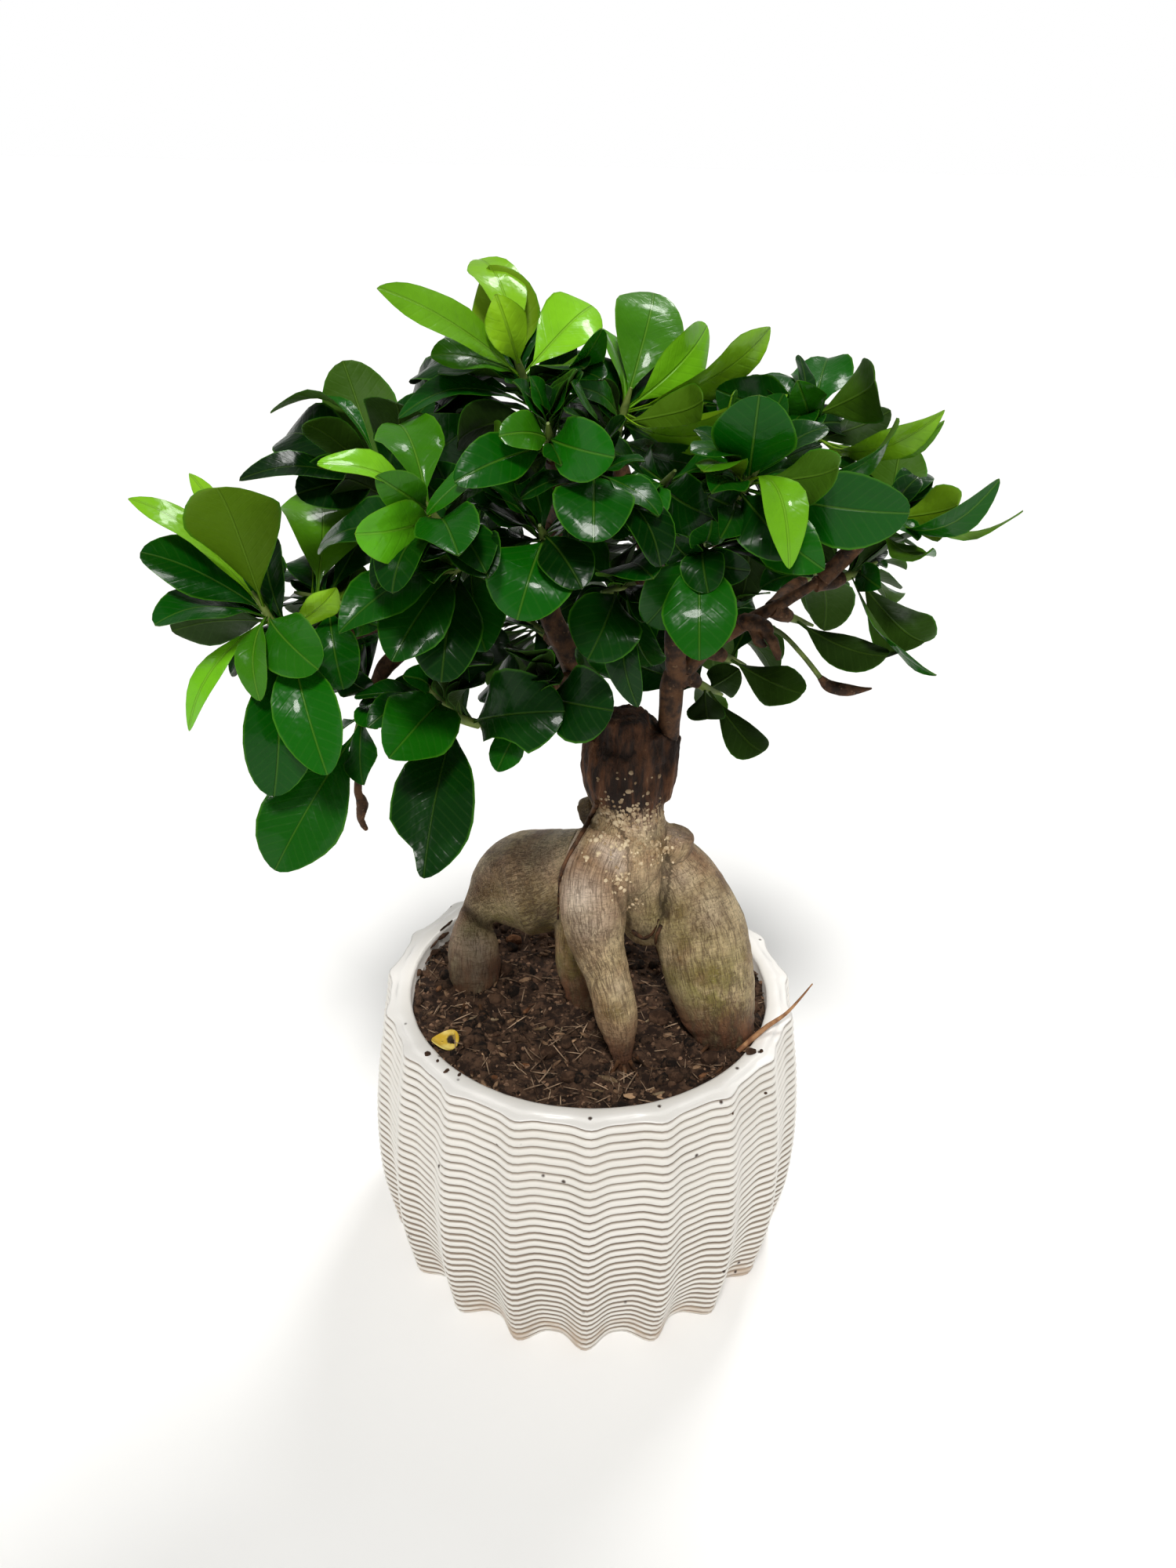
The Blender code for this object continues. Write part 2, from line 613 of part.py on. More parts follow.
def make_pot(glaze):
    """The fluted and ribbed pot, closed below and open above."""
    columns = FLUTES * COLUMNS_PER_FLUTE
    angles = [FIRST_CREST + 2 * math.pi * column / columns for column in range(columns)]
    rings = []
    rows = RIBS * 2
    for row in range(rows + 1):
        share = row / rows
        bulge = RIB_RELIEF if row % 2 else -RIB_RELIEF
        rings.append([around(outer_radius(share, angle) + bulge, angle, POT_HEIGHT * share)
                      for angle in angles])
    rings.append([around(OPENING_RADIUS + RIM_ROUND, angle, POT_HEIGHT) for angle in angles])
    rings.append([around(OPENING_RADIUS, angle, POT_HEIGHT - RIM_ROUND) for angle in angles])
    for share in (WIDEST_SHARE, FLOOR / POT_HEIGHT):
        rings.append([around(inner_radius(share), angle, POT_HEIGHT * share) for angle in angles])
    points = [point for ring in rings for point in ring]
    faces = []
    for ring in range(len(rings) - 1):
        for column in range(columns):
            low = ring * columns + column
            high = ring * columns + (column + 1) % columns
            faces.append((low, high, high + columns, low + columns))
    faces.append(tuple(range(columns)))
    faces.append(tuple(range(len(points) - columns, len(points))))
    pot = make_object("pot", points, faces, glaze)
    shade_round(pot)
    return pot


def soil_height(x, y):
    """The uneven top of the soil, a little lower at the back on the left."""
    clods = noise.noise(Vector((x, y, 0)) * CLOD_FINENESS)
    sunk = SOIL_SINKS * max(0.0, min(1.0, (y - x) / OPENING_RADIUS))
    return SOIL_LEVEL + CLOD_HEIGHT * clods - sunk


def make_soil(trunk, earth):
    """The soil that fills the pot, with holes where the roots go in."""
    columns = FLUTES * 2
    angles = [FIRST_CREST + 2 * math.pi * column / columns for column in range(columns)]
    rings = []
    for share in ((FLOOR + GAP) / POT_HEIGHT, WIDEST_SHARE):
        radius = inner_radius(share) - 2 * GAP
        rings.append([around(radius, angle, POT_HEIGHT * share) for angle in angles])
    edge = OPENING_RADIUS - 1.5 * GAP
    for radius in (edge, 0.6 * edge):
        ring = []
        for angle in angles:
            point = around(radius, angle, 0)
            point.z = soil_height(point.x, point.y)
            ring.append(point)
        rings.append(ring)
    points = [point for ring in rings for point in ring]
    points.append(Vector((0, 0, soil_height(0, 0))))
    faces = [tuple(range(columns))]
    for ring in range(len(rings) - 1):
        for column in range(columns):
            low = ring * columns + column
            high = ring * columns + (column + 1) % columns
            faces.append((low, high, high + columns, low + columns))
    last = (len(rings) - 1) * columns
    for column in range(columns):
        faces.append((last + column, last + (column + 1) % columns, len(points) - 1))
    soil = make_object("soil", points, faces, earth)
    roots = trunk.copy()
    roots.data = trunk.data.copy()
    bpy.context.scene.collection.objects.link(roots)
    swell = roots.modifiers.new("room around the roots", "DISPLACE")
    swell.mid_level = 0.0
    swell.strength = 1.3 * GAP
    apply_modifiers(roots)
    cut_away(soil, roots)
    return soil


def make_swollen_roots():
    """The trunk and its swollen roots, melted into one body and smoothed."""
    limbs = [grown_bar(name, knots, LIMB_STEPS, LIMB_SIDES) for name, knots in LIMBS.items()]
    work = bmesh.new()
    for piece in limbs:
        work.from_mesh(piece.data)
        bpy.data.objects.remove(piece, do_unlink=True)
    mesh = bpy.data.meshes.new("trunk_and_roots")
    work.to_mesh(mesh)
    work.free()
    body = bpy.data.objects.new("trunk_and_roots", mesh)
    bpy.context.scene.collection.objects.link(body)
    melt = body.modifiers.new("melt together", "REMESH")
    melt.mode = "VOXEL"
    melt.voxel_size = LIMB_VOXEL
    soften = body.modifiers.new("soften", "SMOOTH")
    soften.iterations = 8
    apply_modifiers(body)
    triangles = 2 * len(body.data.polygons)
    thin = body.modifiers.new("fewer faces", "DECIMATE")
    thin.ratio = TRUNK_FACES / triangles
    apply_modifiers(body)
    return body


def shoot_routes(shoot):
    """The stations of a shoot's woody twig and of its green stem, which meet at the seat."""
    knots = [seen_at(*knot) for knot in shoot.twig + shoot.stem]
    radii = [TWIG_RADIUS] * len(shoot.twig) + [SEAT_RADIUS] + [STEM_RADIUS] * (len(shoot.stem) - 1)
    route = smooth_route(knots, radii, 1)
    seat = len(shoot.twig)
    woody = route[:seat + 1]
    green = route[seat:]
    centre, tangent, radius = woody[-1]
    green[0] = (centre + tangent * GAP, tangent, STEM_RADIUS)
    tip, tangent, radius = green[-1]
    green[-1] = (tip, tangent, STEM_RADIUS * 0.8)
    green.append((tip + tangent * STEM_TIP_LENGTH, tangent, STEM_RADIUS * 0.3))
    return woody, green


def along_stem(green, share):
    """A point of the stem's middle line, and its tangent there."""
    place = min(share, 0.999) * (len(green) - 2)
    span = int(place)
    here, there = green[span], green[span + 1]
    return here[0].lerp(there[0], place - span), here[1].lerp(there[1], place - span).normalized()


# One blade in space: its foot in the stem, its tip, the way its upper face looks,
# its width, its rise over its length and how far its halves fold up, in degrees
Blade = namedtuple("Blade", "foot tip face width arch fold")

# The rows of points across a blade: the share of its length and how many points lie there
BROAD_ROWS = ((0.0, 2), (0.13, 2), (0.40, 3), (0.68, 3), (0.90, 2), (1.0, 1))
MIDDLE_ROWS = ((0.0, 2), (0.13, 2), (0.50, 3), (0.83, 2), (1.0, 1))
NARROW_ROWS = ((0.0, 2), (0.46, 3), (0.83, 2), (1.0, 1))
BROAD_LEAF = 18
NARROW_LEAF = 13
BLADE_START = 0.16

# How the halves of a blade fold up, in degrees, and how much that differs between leaves
FOLD = 14
FOLD_DIFFERS = 8

# What a leaf of the picture tries until it is clear: its length over the stated one and its twist
STRETCHES = (1.0, 1.07, 0.93, 1.15, 0.87, 1.25)
TWISTS = (0, 14, -14, 28, -28)

# Leaves by rule: their middle size and how much it differs, with the turn from one to the next
RULE_LENGTH = (39, 6)
RULE_WIDTH_SHARE = 0.52
RULE_LEAN = (52, 14)
RULE_ARCH = (0.08, 0.05)
RULE_DROOP = 0.25
RULE_TRIES = 24
TURN_PER_TRY = 24
SHRINK_PER_TRY = 0.018
GOLDEN_TURN = 137.5
LOWEST_RULE_LEAF = 0.30
HIGHEST_RULE_LEAF = 0.95


def half_width(blade, t):
    """Half the blade's width at a share t of its length: obovate, with a short blunt tip."""
    if t <= PETIOLE_SHARE:
        return PETIOLE_WIDTH / 2
    share = (t - PETIOLE_SHARE) / (1 - PETIOLE_SHARE)
    return max(blade.width / 2 * math.sin(math.pi * share ** 1.25) ** 0.7, PETIOLE_WIDTH / 2)


def blade_object(name, blade, rows, extra=0.0):
    """A leaf as a thin closed slab, every way thicker by extra."""
    line = blade.tip - blade.foot
    length = line.length
    ahead = line / length
    aside = ahead.cross(blade.face).normalized()
    fold = math.radians(blade.fold)
    upper = []
    lower = []
    faces = []
    starts = []
    for t, count in rows:
        lean = 4 * blade.arch * (1 - 2 * t)
        out = (blade.face - ahead * lean).normalized()
        middle = blade.foot + line * t + blade.face * (length * blade.arch * 4 * t * (1 - t))
        if t == 1.0:
            middle += ahead * extra
        half = half_width(blade, t) + extra
        edge = aside * (half * math.cos(fold)) + out * (half * math.sin(fold))
        other = aside * (-half * math.cos(fold)) + out * (half * math.sin(fold))
        row = {1: [Vector()], 2: [other, edge], 3: [other, Vector(), edge]}[count]
        starts.append(len(upper))
        upper += [middle + place + out * extra for place in row]
        lower += [middle + place - out * (LEAF_THICKNESS + extra) for place in row]
    below = len(upper)
    for index in range(len(rows) - 1):
        first, count = starts[index], rows[index][1]
        second, next_count = starts[index + 1], rows[index + 1][1]
        strip = strip_faces(first, count, second, next_count)
        faces += strip
        faces += [tuple(corner + below for corner in reversed(face)) for face in strip]
        faces.append((first, second, second + below, first + below))
        faces.append((first + count - 1, first + count - 1 + below,
                      second + next_count - 1 + below, second + next_count - 1))
    faces.append((0, below, below + 1, 1))
    return make_object(name, upper + lower, faces)


def strip_faces(first, count, second, next_count):
    """Triangles between two rows of points, split alike on both halves of the blade."""
    a, b = first, second
    if (count, next_count) == (2, 2):
        return [(a, a + 1, b + 1), (a, b + 1, b)]
    if (count, next_count) == (2, 3):
        return [(a, b + 1, b), (a, a + 1, b + 1), (a + 1, b + 2, b + 1)]
    if (count, next_count) == (3, 3):
        return [(a, a + 1, b), (a + 1, b + 1, b), (a + 1, a + 2, b + 2), (a + 1, b + 2, b + 1)]
    if (count, next_count) == (3, 2):
        return [(a, a + 1, b), (a + 1, b + 1, b), (a + 1, a + 2, b + 1)]
    return [(a, a + 1, b)]


def turned(direction, axis, degrees):
    return Matrix.Rotation(math.radians(degrees), 3, axis) @ direction


def shown_blade(leaf, foot, stretch, toward, twist, fold):
    """A leaf of the picture in space: its tip lies on the sight line, a leaf's length from its foot."""
    sight = sight_direction(leaf.across, leaf.down)
    line = foot - EYE
    nearest = line.dot(sight)
    miss = (line - sight * nearest).length
    length = leaf.length * MM * stretch
    reach = math.sqrt(max(length ** 2 - miss ** 2, 0.0))
    tip = EYE + sight * (nearest - toward * reach)
    ahead = (tip - foot).normalized()
    to_eye = (EYE - foot).normalized()
    face = (to_eye - ahead * to_eye.dot(ahead)).normalized()
    face = turned(face, ahead, leaf.turn + twist)
    return Blade(foot, tip, face, leaf.width * MM, leaf.arch, fold)


def rule_blade(foot, tangent, turn, draw, size):
    """A leaf by rule: it leaves the stem at its turn, leans out and droops a little."""
    aside = turned(tangent.orthogonal().normalized(), tangent, turn)
    lean = math.radians(RULE_LEAN[0] + RULE_LEAN[1] * draw)
    ahead = tangent * math.cos(lean) + aside * math.sin(lean)
    ahead.z -= RULE_DROOP
    ahead.normalize()
    face = Vector((0, 0, 1)) + tangent / 2
    face = (face - ahead * face.dot(ahead)).normalized()
    length = (RULE_LENGTH[0] + RULE_LENGTH[1] * draw) * MM * size
    arch = RULE_ARCH[0] + RULE_ARCH[1] * draw
    return Blade(foot, foot + ahead * length, face, length * RULE_WIDTH_SHARE, arch, FOLD)


def scatter(number):
    """A repeatable number between -1 and 1."""
    return math.modf(math.sin(number * 12.9898) * 43758.5453)[0]


def touches(surface, others):
    return any(surface.overlap(other) for other in others)


def blade_surface(blade, rows, extra):
    trial = blade_object("trial leaf", blade, rows, extra)
    surface = surface_of(trial)
    bpy.data.objects.remove(trial, do_unlink=True)
    return surface


def without_petiole(rows):
    """The rows of the blade alone, which keeps clear of its neighbours on the same stem."""
    return ((BLADE_START, 2), *(row for row in rows if row[0] > BLADE_START))


def find_room(candidates, rows, foreign, own):
    """The candidate, clear of all other pieces, that meets the fewest leaves of its own shoot."""
    best = None
    fewest = len(own) + 1
    for blade in candidates:
        if touches(blade_surface(blade, rows, 1.5 * GAP), foreign):
            continue
        surface = blade_surface(blade, without_petiole(rows), GAP / 2)
        met = sum(1 for other in own if surface.overlap(other))
        if met < fewest:
            best, fewest = blade, met
        if not met:
            break
    return best


def shown_candidates(leaf, foot, fold):
    """The leaf as the picture shows it, then nearer or farther along the same sight line."""
    for toward in (leaf.toward, -leaf.toward):
        for stretch in STRETCHES:
            for twist in TWISTS:
                yield shown_blade(leaf, foot, stretch, toward, twist, fold)


def rule_candidates(foot, tangent, turn, seed, spread, middle):
    """Leaves by rule that the picture would not show outside the shoot's own spread."""
    for attempt in range(RULE_TRIES):
        draw = scatter(seed + attempt / 3)
        size = 1.0 - SHRINK_PER_TRY * attempt
        blade = rule_blade(foot, tangent, turn + TURN_PER_TRY * attempt, draw, size)
        if (place_in_picture(blade.tip) - middle).length < spread:
            yield blade


def make_shoots(leaf_green, standing):
    """Every shoot's stem first, then the leaves of the picture, then those that grow by rule."""
    routes = {name: shoot_routes(shoot)[1] for name, shoot in SHOOTS.items()}
    stems = {name: tube(name, routes[name], STEM_SIDES) for name in SHOOTS}
    stem_surfaces = {name: surface_of(stem) for name, stem in stems.items()}
    grown = {name: [] for name in SHOOTS}
    grown_surfaces = {name: [] for name in SHOOTS}
    own_blades = {name: [] for name in SHOOTS}

    def add_leaf(name, candidates, rows):
        foreign = list(standing)
        for other in SHOOTS:
            if other != name:
                foreign += [stem_surfaces[other], *grown_surfaces[other]]
        blade = find_room(candidates, rows, foreign, own_blades[name])
        if blade:
            leaf = blade_object(f"{name} leaf", blade, rows)
            grown[name].append(leaf)
            grown_surfaces[name].append(surface_of(leaf))
            own_blades[name].append(blade_surface(blade, without_petiole(rows), 0.0))

    for name, shoot in SHOOTS.items():
        for number, leaf in enumerate(shoot.leaves):
            foot = along_stem(routes[name], leaf.along)[0]
            fold = FOLD + FOLD_DIFFERS * scatter(number + leaf.length)
            rows = NARROW_ROWS if leaf.width < NARROW_LEAF else MIDDLE_ROWS
            if leaf.width >= BROAD_LEAF:
                rows = BROAD_ROWS
            add_leaf(name, shown_candidates(leaf, foot, fold), rows)
    for order, (name, shoot) in enumerate(SHOOTS.items()):
        middle = place_in_picture(routes[name][-2][0])
        for number in range(shoot.more):
            rise = (number + 1) / (shoot.more + 1)
            share = LOWEST_RULE_LEAF + (HIGHEST_RULE_LEAF - LOWEST_RULE_LEAF) * rise
            foot, tangent = along_stem(routes[name], share)
            seed = 7 * order + 2 * number
            tries = rule_candidates(foot, tangent, GOLDEN_TURN * number, seed, shoot.spread, middle)
            add_leaf(name, tries, MIDDLE_ROWS)
    for name in SHOOTS:
        grow_together(stems[name], grown[name])
        drop_scraps(stems[name])
        stems[name].data.materials.clear()
        stems[name].data.materials.append(leaf_green)


def ground_height(ground, point):
    """The height of the soil under or over a point."""
    above = Vector((point.x, point.y, 2 * POT_HEIGHT))
    return ground.ray_cast(above, Vector((0, 0, -1)))[0].z


def make_fallen_leaf(soil, yellow):
    """A small dry leaf that lies on the soil at the front on the left."""
    centre = Vector((*FALLEN_LEAF_AT, 0))
    long_half, short_half = FALLEN_LEAF_HALVES
    count = FALLEN_LEAF_CORNERS
    outline = []
    for number in range(count):
        angle = 2 * math.pi * number / count
        outline.append(centre + Vector((long_half * math.cos(angle), short_half * math.sin(angle), 0)))
    ground = surface_of(soil)
    lowest = max(ground_height(ground, point) for point in outline + [centre]) + GAP
    below = [point + Vector((0, 0, lowest)) for point in outline]
    above = [point + Vector((0, 0, LEAF_THICKNESS)) for point in below]
    faces = [tuple(range(count)), tuple(range(count, 2 * count))]
    for side in range(count):
        follow = (side + 1) % count
        faces.append((side, follow, follow + count, side + count))
    return make_object("fallen_leaf", below + above, faces, yellow)


def make_dry_stalk(soil, straw):
    """A dry grass stalk that lies on the soil and leans out over the rim."""
    foot = Vector((*STALK_FOOT, 0))
    foot.z = ground_height(surface_of(soil), foot) + STALK_RADIUS + 3 * GAP
    over_rim = Vector((*STALK_OVER_RIM, POT_HEIGHT + STALK_RADIUS + 5 * GAP))
    knots = [foot, over_rim, Vector(STALK_RISES), Vector(STALK_END)]
    route = smooth_route(knots, [STALK_RADIUS] * len(knots), 2)
    return tube("dry_stalk", route, 5, straw)


def build():
    empty_the_scene()
    glaze = make_material("white_glaze", (0.80, 0.77, 0.72), 0.28)
    earth = make_material("potting_soil", (0.055, 0.034, 0.022), 0.95)
    bark = make_material("bark", (0.30, 0.22, 0.14), 0.75)
    leaf_green = make_material("leaf_green", (0.045, 0.20, 0.020), 0.30)
    yellow = make_material("dry_leaf", (0.80, 0.60, 0.16), 0.60)
    straw = make_material("straw", (0.46, 0.28, 0.13), 0.80)

    pot = make_pot(glaze)
    trunk = make_swollen_roots()
    soil = make_soil(trunk, earth)
    woody = [grown_bar(name, knots, 1, BRANCH_SIDES) for name, knots in BRANCHES.items()]
    for name, shoot in SHOOTS.items():
        woody.append(tube(f"{name} twig", shoot_routes(shoot)[0], STEM_SIDES))
    grow_together(trunk, woody)
    drop_scraps(trunk)
    trunk.data.materials.clear()
    trunk.data.materials.append(bark)
    shade_round(trunk)
    stalk = make_dry_stalk(soil, straw)
    fallen = make_fallen_leaf(soil, yellow)
    standing = [surface_of(thing) for thing in (pot, soil, trunk, stalk, fallen)]
    make_shoots(leaf_green, standing)


build()
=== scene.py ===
"""A ficus ginseng bonsai in its white ribbed pot, dressed on the frame of its solids."""

import json
import math
from collections import namedtuple

import bmesh
import bpy
import numpy as np
from mathutils import Matrix, Vector, noise
from mathutils.bvhtree import BVHTree

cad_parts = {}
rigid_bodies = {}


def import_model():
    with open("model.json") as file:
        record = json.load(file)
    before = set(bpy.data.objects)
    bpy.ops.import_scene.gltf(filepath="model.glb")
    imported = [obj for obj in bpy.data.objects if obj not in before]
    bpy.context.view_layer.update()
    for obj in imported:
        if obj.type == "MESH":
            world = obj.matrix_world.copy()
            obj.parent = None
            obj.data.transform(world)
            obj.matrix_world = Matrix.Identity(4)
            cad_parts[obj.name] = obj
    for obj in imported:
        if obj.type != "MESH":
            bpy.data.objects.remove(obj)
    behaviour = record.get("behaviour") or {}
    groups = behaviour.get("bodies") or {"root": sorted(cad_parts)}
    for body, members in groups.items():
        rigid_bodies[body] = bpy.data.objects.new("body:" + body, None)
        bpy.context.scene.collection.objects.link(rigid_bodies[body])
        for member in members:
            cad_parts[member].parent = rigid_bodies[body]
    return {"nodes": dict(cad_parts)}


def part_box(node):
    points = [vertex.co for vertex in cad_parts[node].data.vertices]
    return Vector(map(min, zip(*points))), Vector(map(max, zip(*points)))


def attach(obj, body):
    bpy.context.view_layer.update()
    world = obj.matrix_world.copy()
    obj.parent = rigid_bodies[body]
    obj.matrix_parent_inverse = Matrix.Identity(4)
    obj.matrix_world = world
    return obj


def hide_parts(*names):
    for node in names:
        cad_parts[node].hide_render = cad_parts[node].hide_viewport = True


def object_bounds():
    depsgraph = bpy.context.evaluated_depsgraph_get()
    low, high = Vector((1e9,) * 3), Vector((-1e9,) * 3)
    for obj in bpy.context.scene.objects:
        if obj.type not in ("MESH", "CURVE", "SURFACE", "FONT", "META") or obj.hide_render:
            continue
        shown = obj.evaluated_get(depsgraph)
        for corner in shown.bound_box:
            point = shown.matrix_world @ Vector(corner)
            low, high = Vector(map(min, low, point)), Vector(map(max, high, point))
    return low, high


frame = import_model()
cad_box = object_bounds()

# The viewer's place.
# The tree is looked at from arm's length and a little above, as in its picture, which is
# 1500 across and 2000 down. Knots of the branches and tips of the leaves are stated in it.
MM = 0.001
EYE = Vector((0.0, -0.3485, 0.3756))
LOOKING_DOWN = math.radians(28.2)
TURNED_LEFT = math.radians(0.3)
ROLLED = math.radians(1.11)
FOCAL_LENGTH = 1500
MIDDLE_ACROSS = 750
MIDDLE_DOWN = 1000
SENSOR = 36
LONG_SIDE = 2000


def view_axes():
    """The directions of the picture's depth, right and top."""
    look = Vector((-math.sin(TURNED_LEFT) * math.cos(LOOKING_DOWN),
                   math.cos(TURNED_LEFT) * math.cos(LOOKING_DOWN), -math.sin(LOOKING_DOWN)))
    level = Vector((math.cos(TURNED_LEFT), math.sin(TURNED_LEFT), 0))
    upright = level.cross(look)
    right = level * math.cos(ROLLED) + upright * math.sin(ROLLED)
    top = upright * math.cos(ROLLED) - level * math.sin(ROLLED)
    return look, right, top


LOOK, RIGHT, TOP = view_axes()


def sight_direction(across, down):
    """The direction in which a place of the picture is seen from the eye."""
    aside = (across - MIDDLE_ACROSS) / FOCAL_LENGTH
    below = (down - MIDDLE_DOWN) / FOCAL_LENGTH
    return (LOOK + RIGHT * aside - TOP * below).normalized()


def seen_at(across, down, depth):
    """The point of the plane y = depth, in mm, that is seen at a place of the picture."""
    direction = sight_direction(across, down)
    return EYE + direction * ((depth * MM - EYE.y) / direction.y)


def place_in_picture(point):
    """Where the picture shows a point, as (across, down)."""
    line = point - EYE
    scale = FOCAL_LENGTH / line.dot(LOOK)
    return Vector((MIDDLE_ACROSS + line.dot(RIGHT) * scale, MIDDLE_DOWN - line.dot(TOP) * scale))


def show(thing):
    """Put a thing into the scene."""
    bpy.context.scene.collection.objects.link(thing)


lens = bpy.data.cameras.new("viewer")
lens.sensor_width = SENSOR
lens.lens = SENSOR * FOCAL_LENGTH / LONG_SIDE
lens.clip_start = 0.01
lens.clip_end = 50
viewer = bpy.data.objects.new("viewer", lens)
turned_to_scene = Matrix((RIGHT, TOP, -LOOK)).transposed().to_4x4()
viewer.matrix_world = Matrix.Translation(EYE) @ turned_to_scene
show(viewer)
bpy.context.scene.camera = viewer

# The floor and the light.
# A plain pale floor that reaches to the horizon, a wide soft light high in front, a weaker one
# behind the tree, and a room that is grey overhead and pale just above the floor.
FLOOR_REACH = 40.0


class Flow:
    """What flows out of a node's socket. Sums on it become Math nodes of the same tree."""

    def __init__(self, tree, socket=None):
        self.tree = tree
        self.socket = socket

    def node(self, kind, settings=None, inputs=None, output=0):
        """A node of any kind: its settings first, then the values or links of its sockets."""
        made = self.tree.nodes.new(kind)
        for name, value in (settings or {}).items():
            if name == "stops":
                ramp = made.color_ramp
                while len(ramp.elements) < len(value):
                    ramp.elements.new(1.0)
                for stop, (place, colour) in zip(ramp.elements, value):
                    stop.position = place
                    stop.color = (*colour, 1.0)
            else:
                setattr(made, name, value)
        for name, value in (inputs or {}).items():
            if isinstance(value, Flow):
                self.tree.links.new(value.socket, made.inputs[name])
            else:
                made.inputs[name].default_value = value
        return Flow(self.tree, made.outputs[output] if made.outputs else None)

    def other(self, output):
        """Another output of the same node."""
        return Flow(self.tree, self.socket.node.outputs[output])

    def maths(self, operation, *values):
        """A Math node whose first value is the flow itself."""
        return self.node("ShaderNodeMath", {"operation": operation}, dict(enumerate((self, *values))))

    def sine(self):
        return self.maths("SINE")

    def cosine(self):
        return self.maths("COSINE")

    def unsigned(self):
        return self.maths("ABSOLUTE")

    def positive(self):
        """The flow, or 0 where it is less."""
        return self.maths("MAXIMUM", 0.0)

    def __add__(self, value):
        return self.maths("ADD", value)

    def __sub__(self, value):
        return self.maths("SUBTRACT", value)

    def __mul__(self, value):
        return self.maths("MULTIPLY", value)

    def __truediv__(self, value):
        return self.maths("DIVIDE", value)

    def __pow__(self, value):
        return self.maths("POWER", value)

    def __rsub__(self, value):
        return self.node("ShaderNodeMath", {"operation": "SUBTRACT"}, {0: value, 1: self})

    __radd__ = __add__

    def between(self, low, high):
        """0 below low, 1 above high and a soft step from one to the other."""
        return self.node("ShaderNodeMapRange", {"interpolation_type": "SMOOTHSTEP"},
                         {"Value": self, "From Min": low, "From Max": high})

    def paint(self, low, high):
        """From one colour to another as the flow goes from 0 to 1."""
        low, high = (value if isinstance(value, Flow) else (*value, 1.0) for value in (low, high))
        return self.node("ShaderNodeMix", {"data_type": "RGBA"}, {0: self, 6: low, 7: high}, 2)

    def vector(self, operation, *values):
        """A Vector Math node whose first value is the flow itself."""
        return self.node("ShaderNodeVectorMath", {"operation": operation},
                         dict(enumerate((self, *values))))

    def scaled(self, factor):
        return self.node("ShaderNodeVectorMath", {"operation": "SCALE"}, {0: self, "Scale": factor})

    def moved(self, *steps):
        place = self
        for step in steps:
            place = place.vector("ADD", step)
        return place

    def grain(self, scale, detail=2.0, roughness=0.5, distortion=0.0):
        """Soft noise from 0 to 1 at the places that flow in."""
        return self.node("ShaderNodeTexNoise", None, {
            "Vector": self, "Scale": scale, "Detail": detail,
            "Roughness": roughness, "Distortion": distortion})

    def jitter(self, scale, detail, reach):
        """Steps of up to half the reach each way, by the noise at the places that flow in."""
        cloud = self.node("ShaderNodeTexNoise", None, {
            "Vector": self, "Scale": scale, "Detail": detail}, "Color")
        return cloud.vector("SUBTRACT", (0.5, 0.5, 0.5)).scaled(reach)

    def joined(self, *parts):
        """A vector of three flows or numbers."""
        return self.node("ShaderNodeCombineXYZ", None, dict(enumerate(parts)))

    def part(self, axis):
        return self.node("ShaderNodeSeparateXYZ", None, {0: self}, axis)

    def object_place(self):
        """Where the shaded point is on its thing."""
        return self.node("ShaderNodeTexCoord", None, None, "Object")

    def attribute(self, name, output="Fac"):
        """What a mesh carries under a name, for a material."""
        return self.node("ShaderNodeAttribute", {"attribute_name": name}, None, output)

    def bump(self, strength, distance):
        """The normal of a surface on which the flow is a height."""
        return self.node("ShaderNodeBump", None, {
            "Strength": strength, "Distance": distance, "Height": self})

    def named(self, name, kind="FLOAT"):
        """What a mesh carries under a name, for Geometry Nodes."""
        return self.node("GeometryNodeInputNamedAttribute", {"data_type": kind}, {"Name": name})

    def stored(self, name, flow, domain="POINT"):
        """The geometry that flows out, carrying another flow under a name."""
        return self.node("GeometryNodeStoreNamedAttribute", {"data_type": "FLOAT", "domain": domain},
                         {"Geometry": self, "Name": name, "Value": flow})

    def made_real(self):
        return self.node("GeometryNodeRealizeInstances", None, {0: self})


def new_material(name, roughness=0.5, specular=0.5, coat=0.0, coat_roughness=0.1):
    """A material with one shader, the flow that its nodes start from and a way to finish it."""
    material = bpy.data.materials.new(name)
    material.use_nodes = True
    material.node_tree.nodes.clear()
    start = Flow(material.node_tree)
    shader = start.node("ShaderNodeBsdfPrincipled", None, {
        "Roughness": roughness, "Specular IOR Level": specular,
        "Coat Weight": coat, "Coat Roughness": coat_roughness})
    start.node("ShaderNodeOutputMaterial", None, {"Surface": shader})

    def finish(**sockets):
        for label, flow in sockets.items():
            socket = shader.socket.node.inputs[label.replace("_", " ")]
            start.tree.links.new(flow.socket, socket)

    return material, start, finish


def make_floor():
    mesh = bpy.data.meshes.new("floor")
    corners = [(-FLOOR_REACH, -FLOOR_REACH, 0), (FLOOR_REACH, -FLOOR_REACH, 0),
               (FLOOR_REACH, FLOOR_REACH, 0), (-FLOOR_REACH, FLOOR_REACH, 0)]
    mesh.from_pydata(corners, [], [(0, 1, 2, 3)])
    floor = bpy.data.objects.new("floor", mesh)
    show(floor)
    paper, start, finish = new_material("pale floor", roughness=0.9, specular=0.1)
    place = start.object_place()
    finish(Base_Color=place.grain(3.0).paint((0.92, 0.92, 0.915), (0.95, 0.95, 0.945)))
    mesh.materials.append(paper)


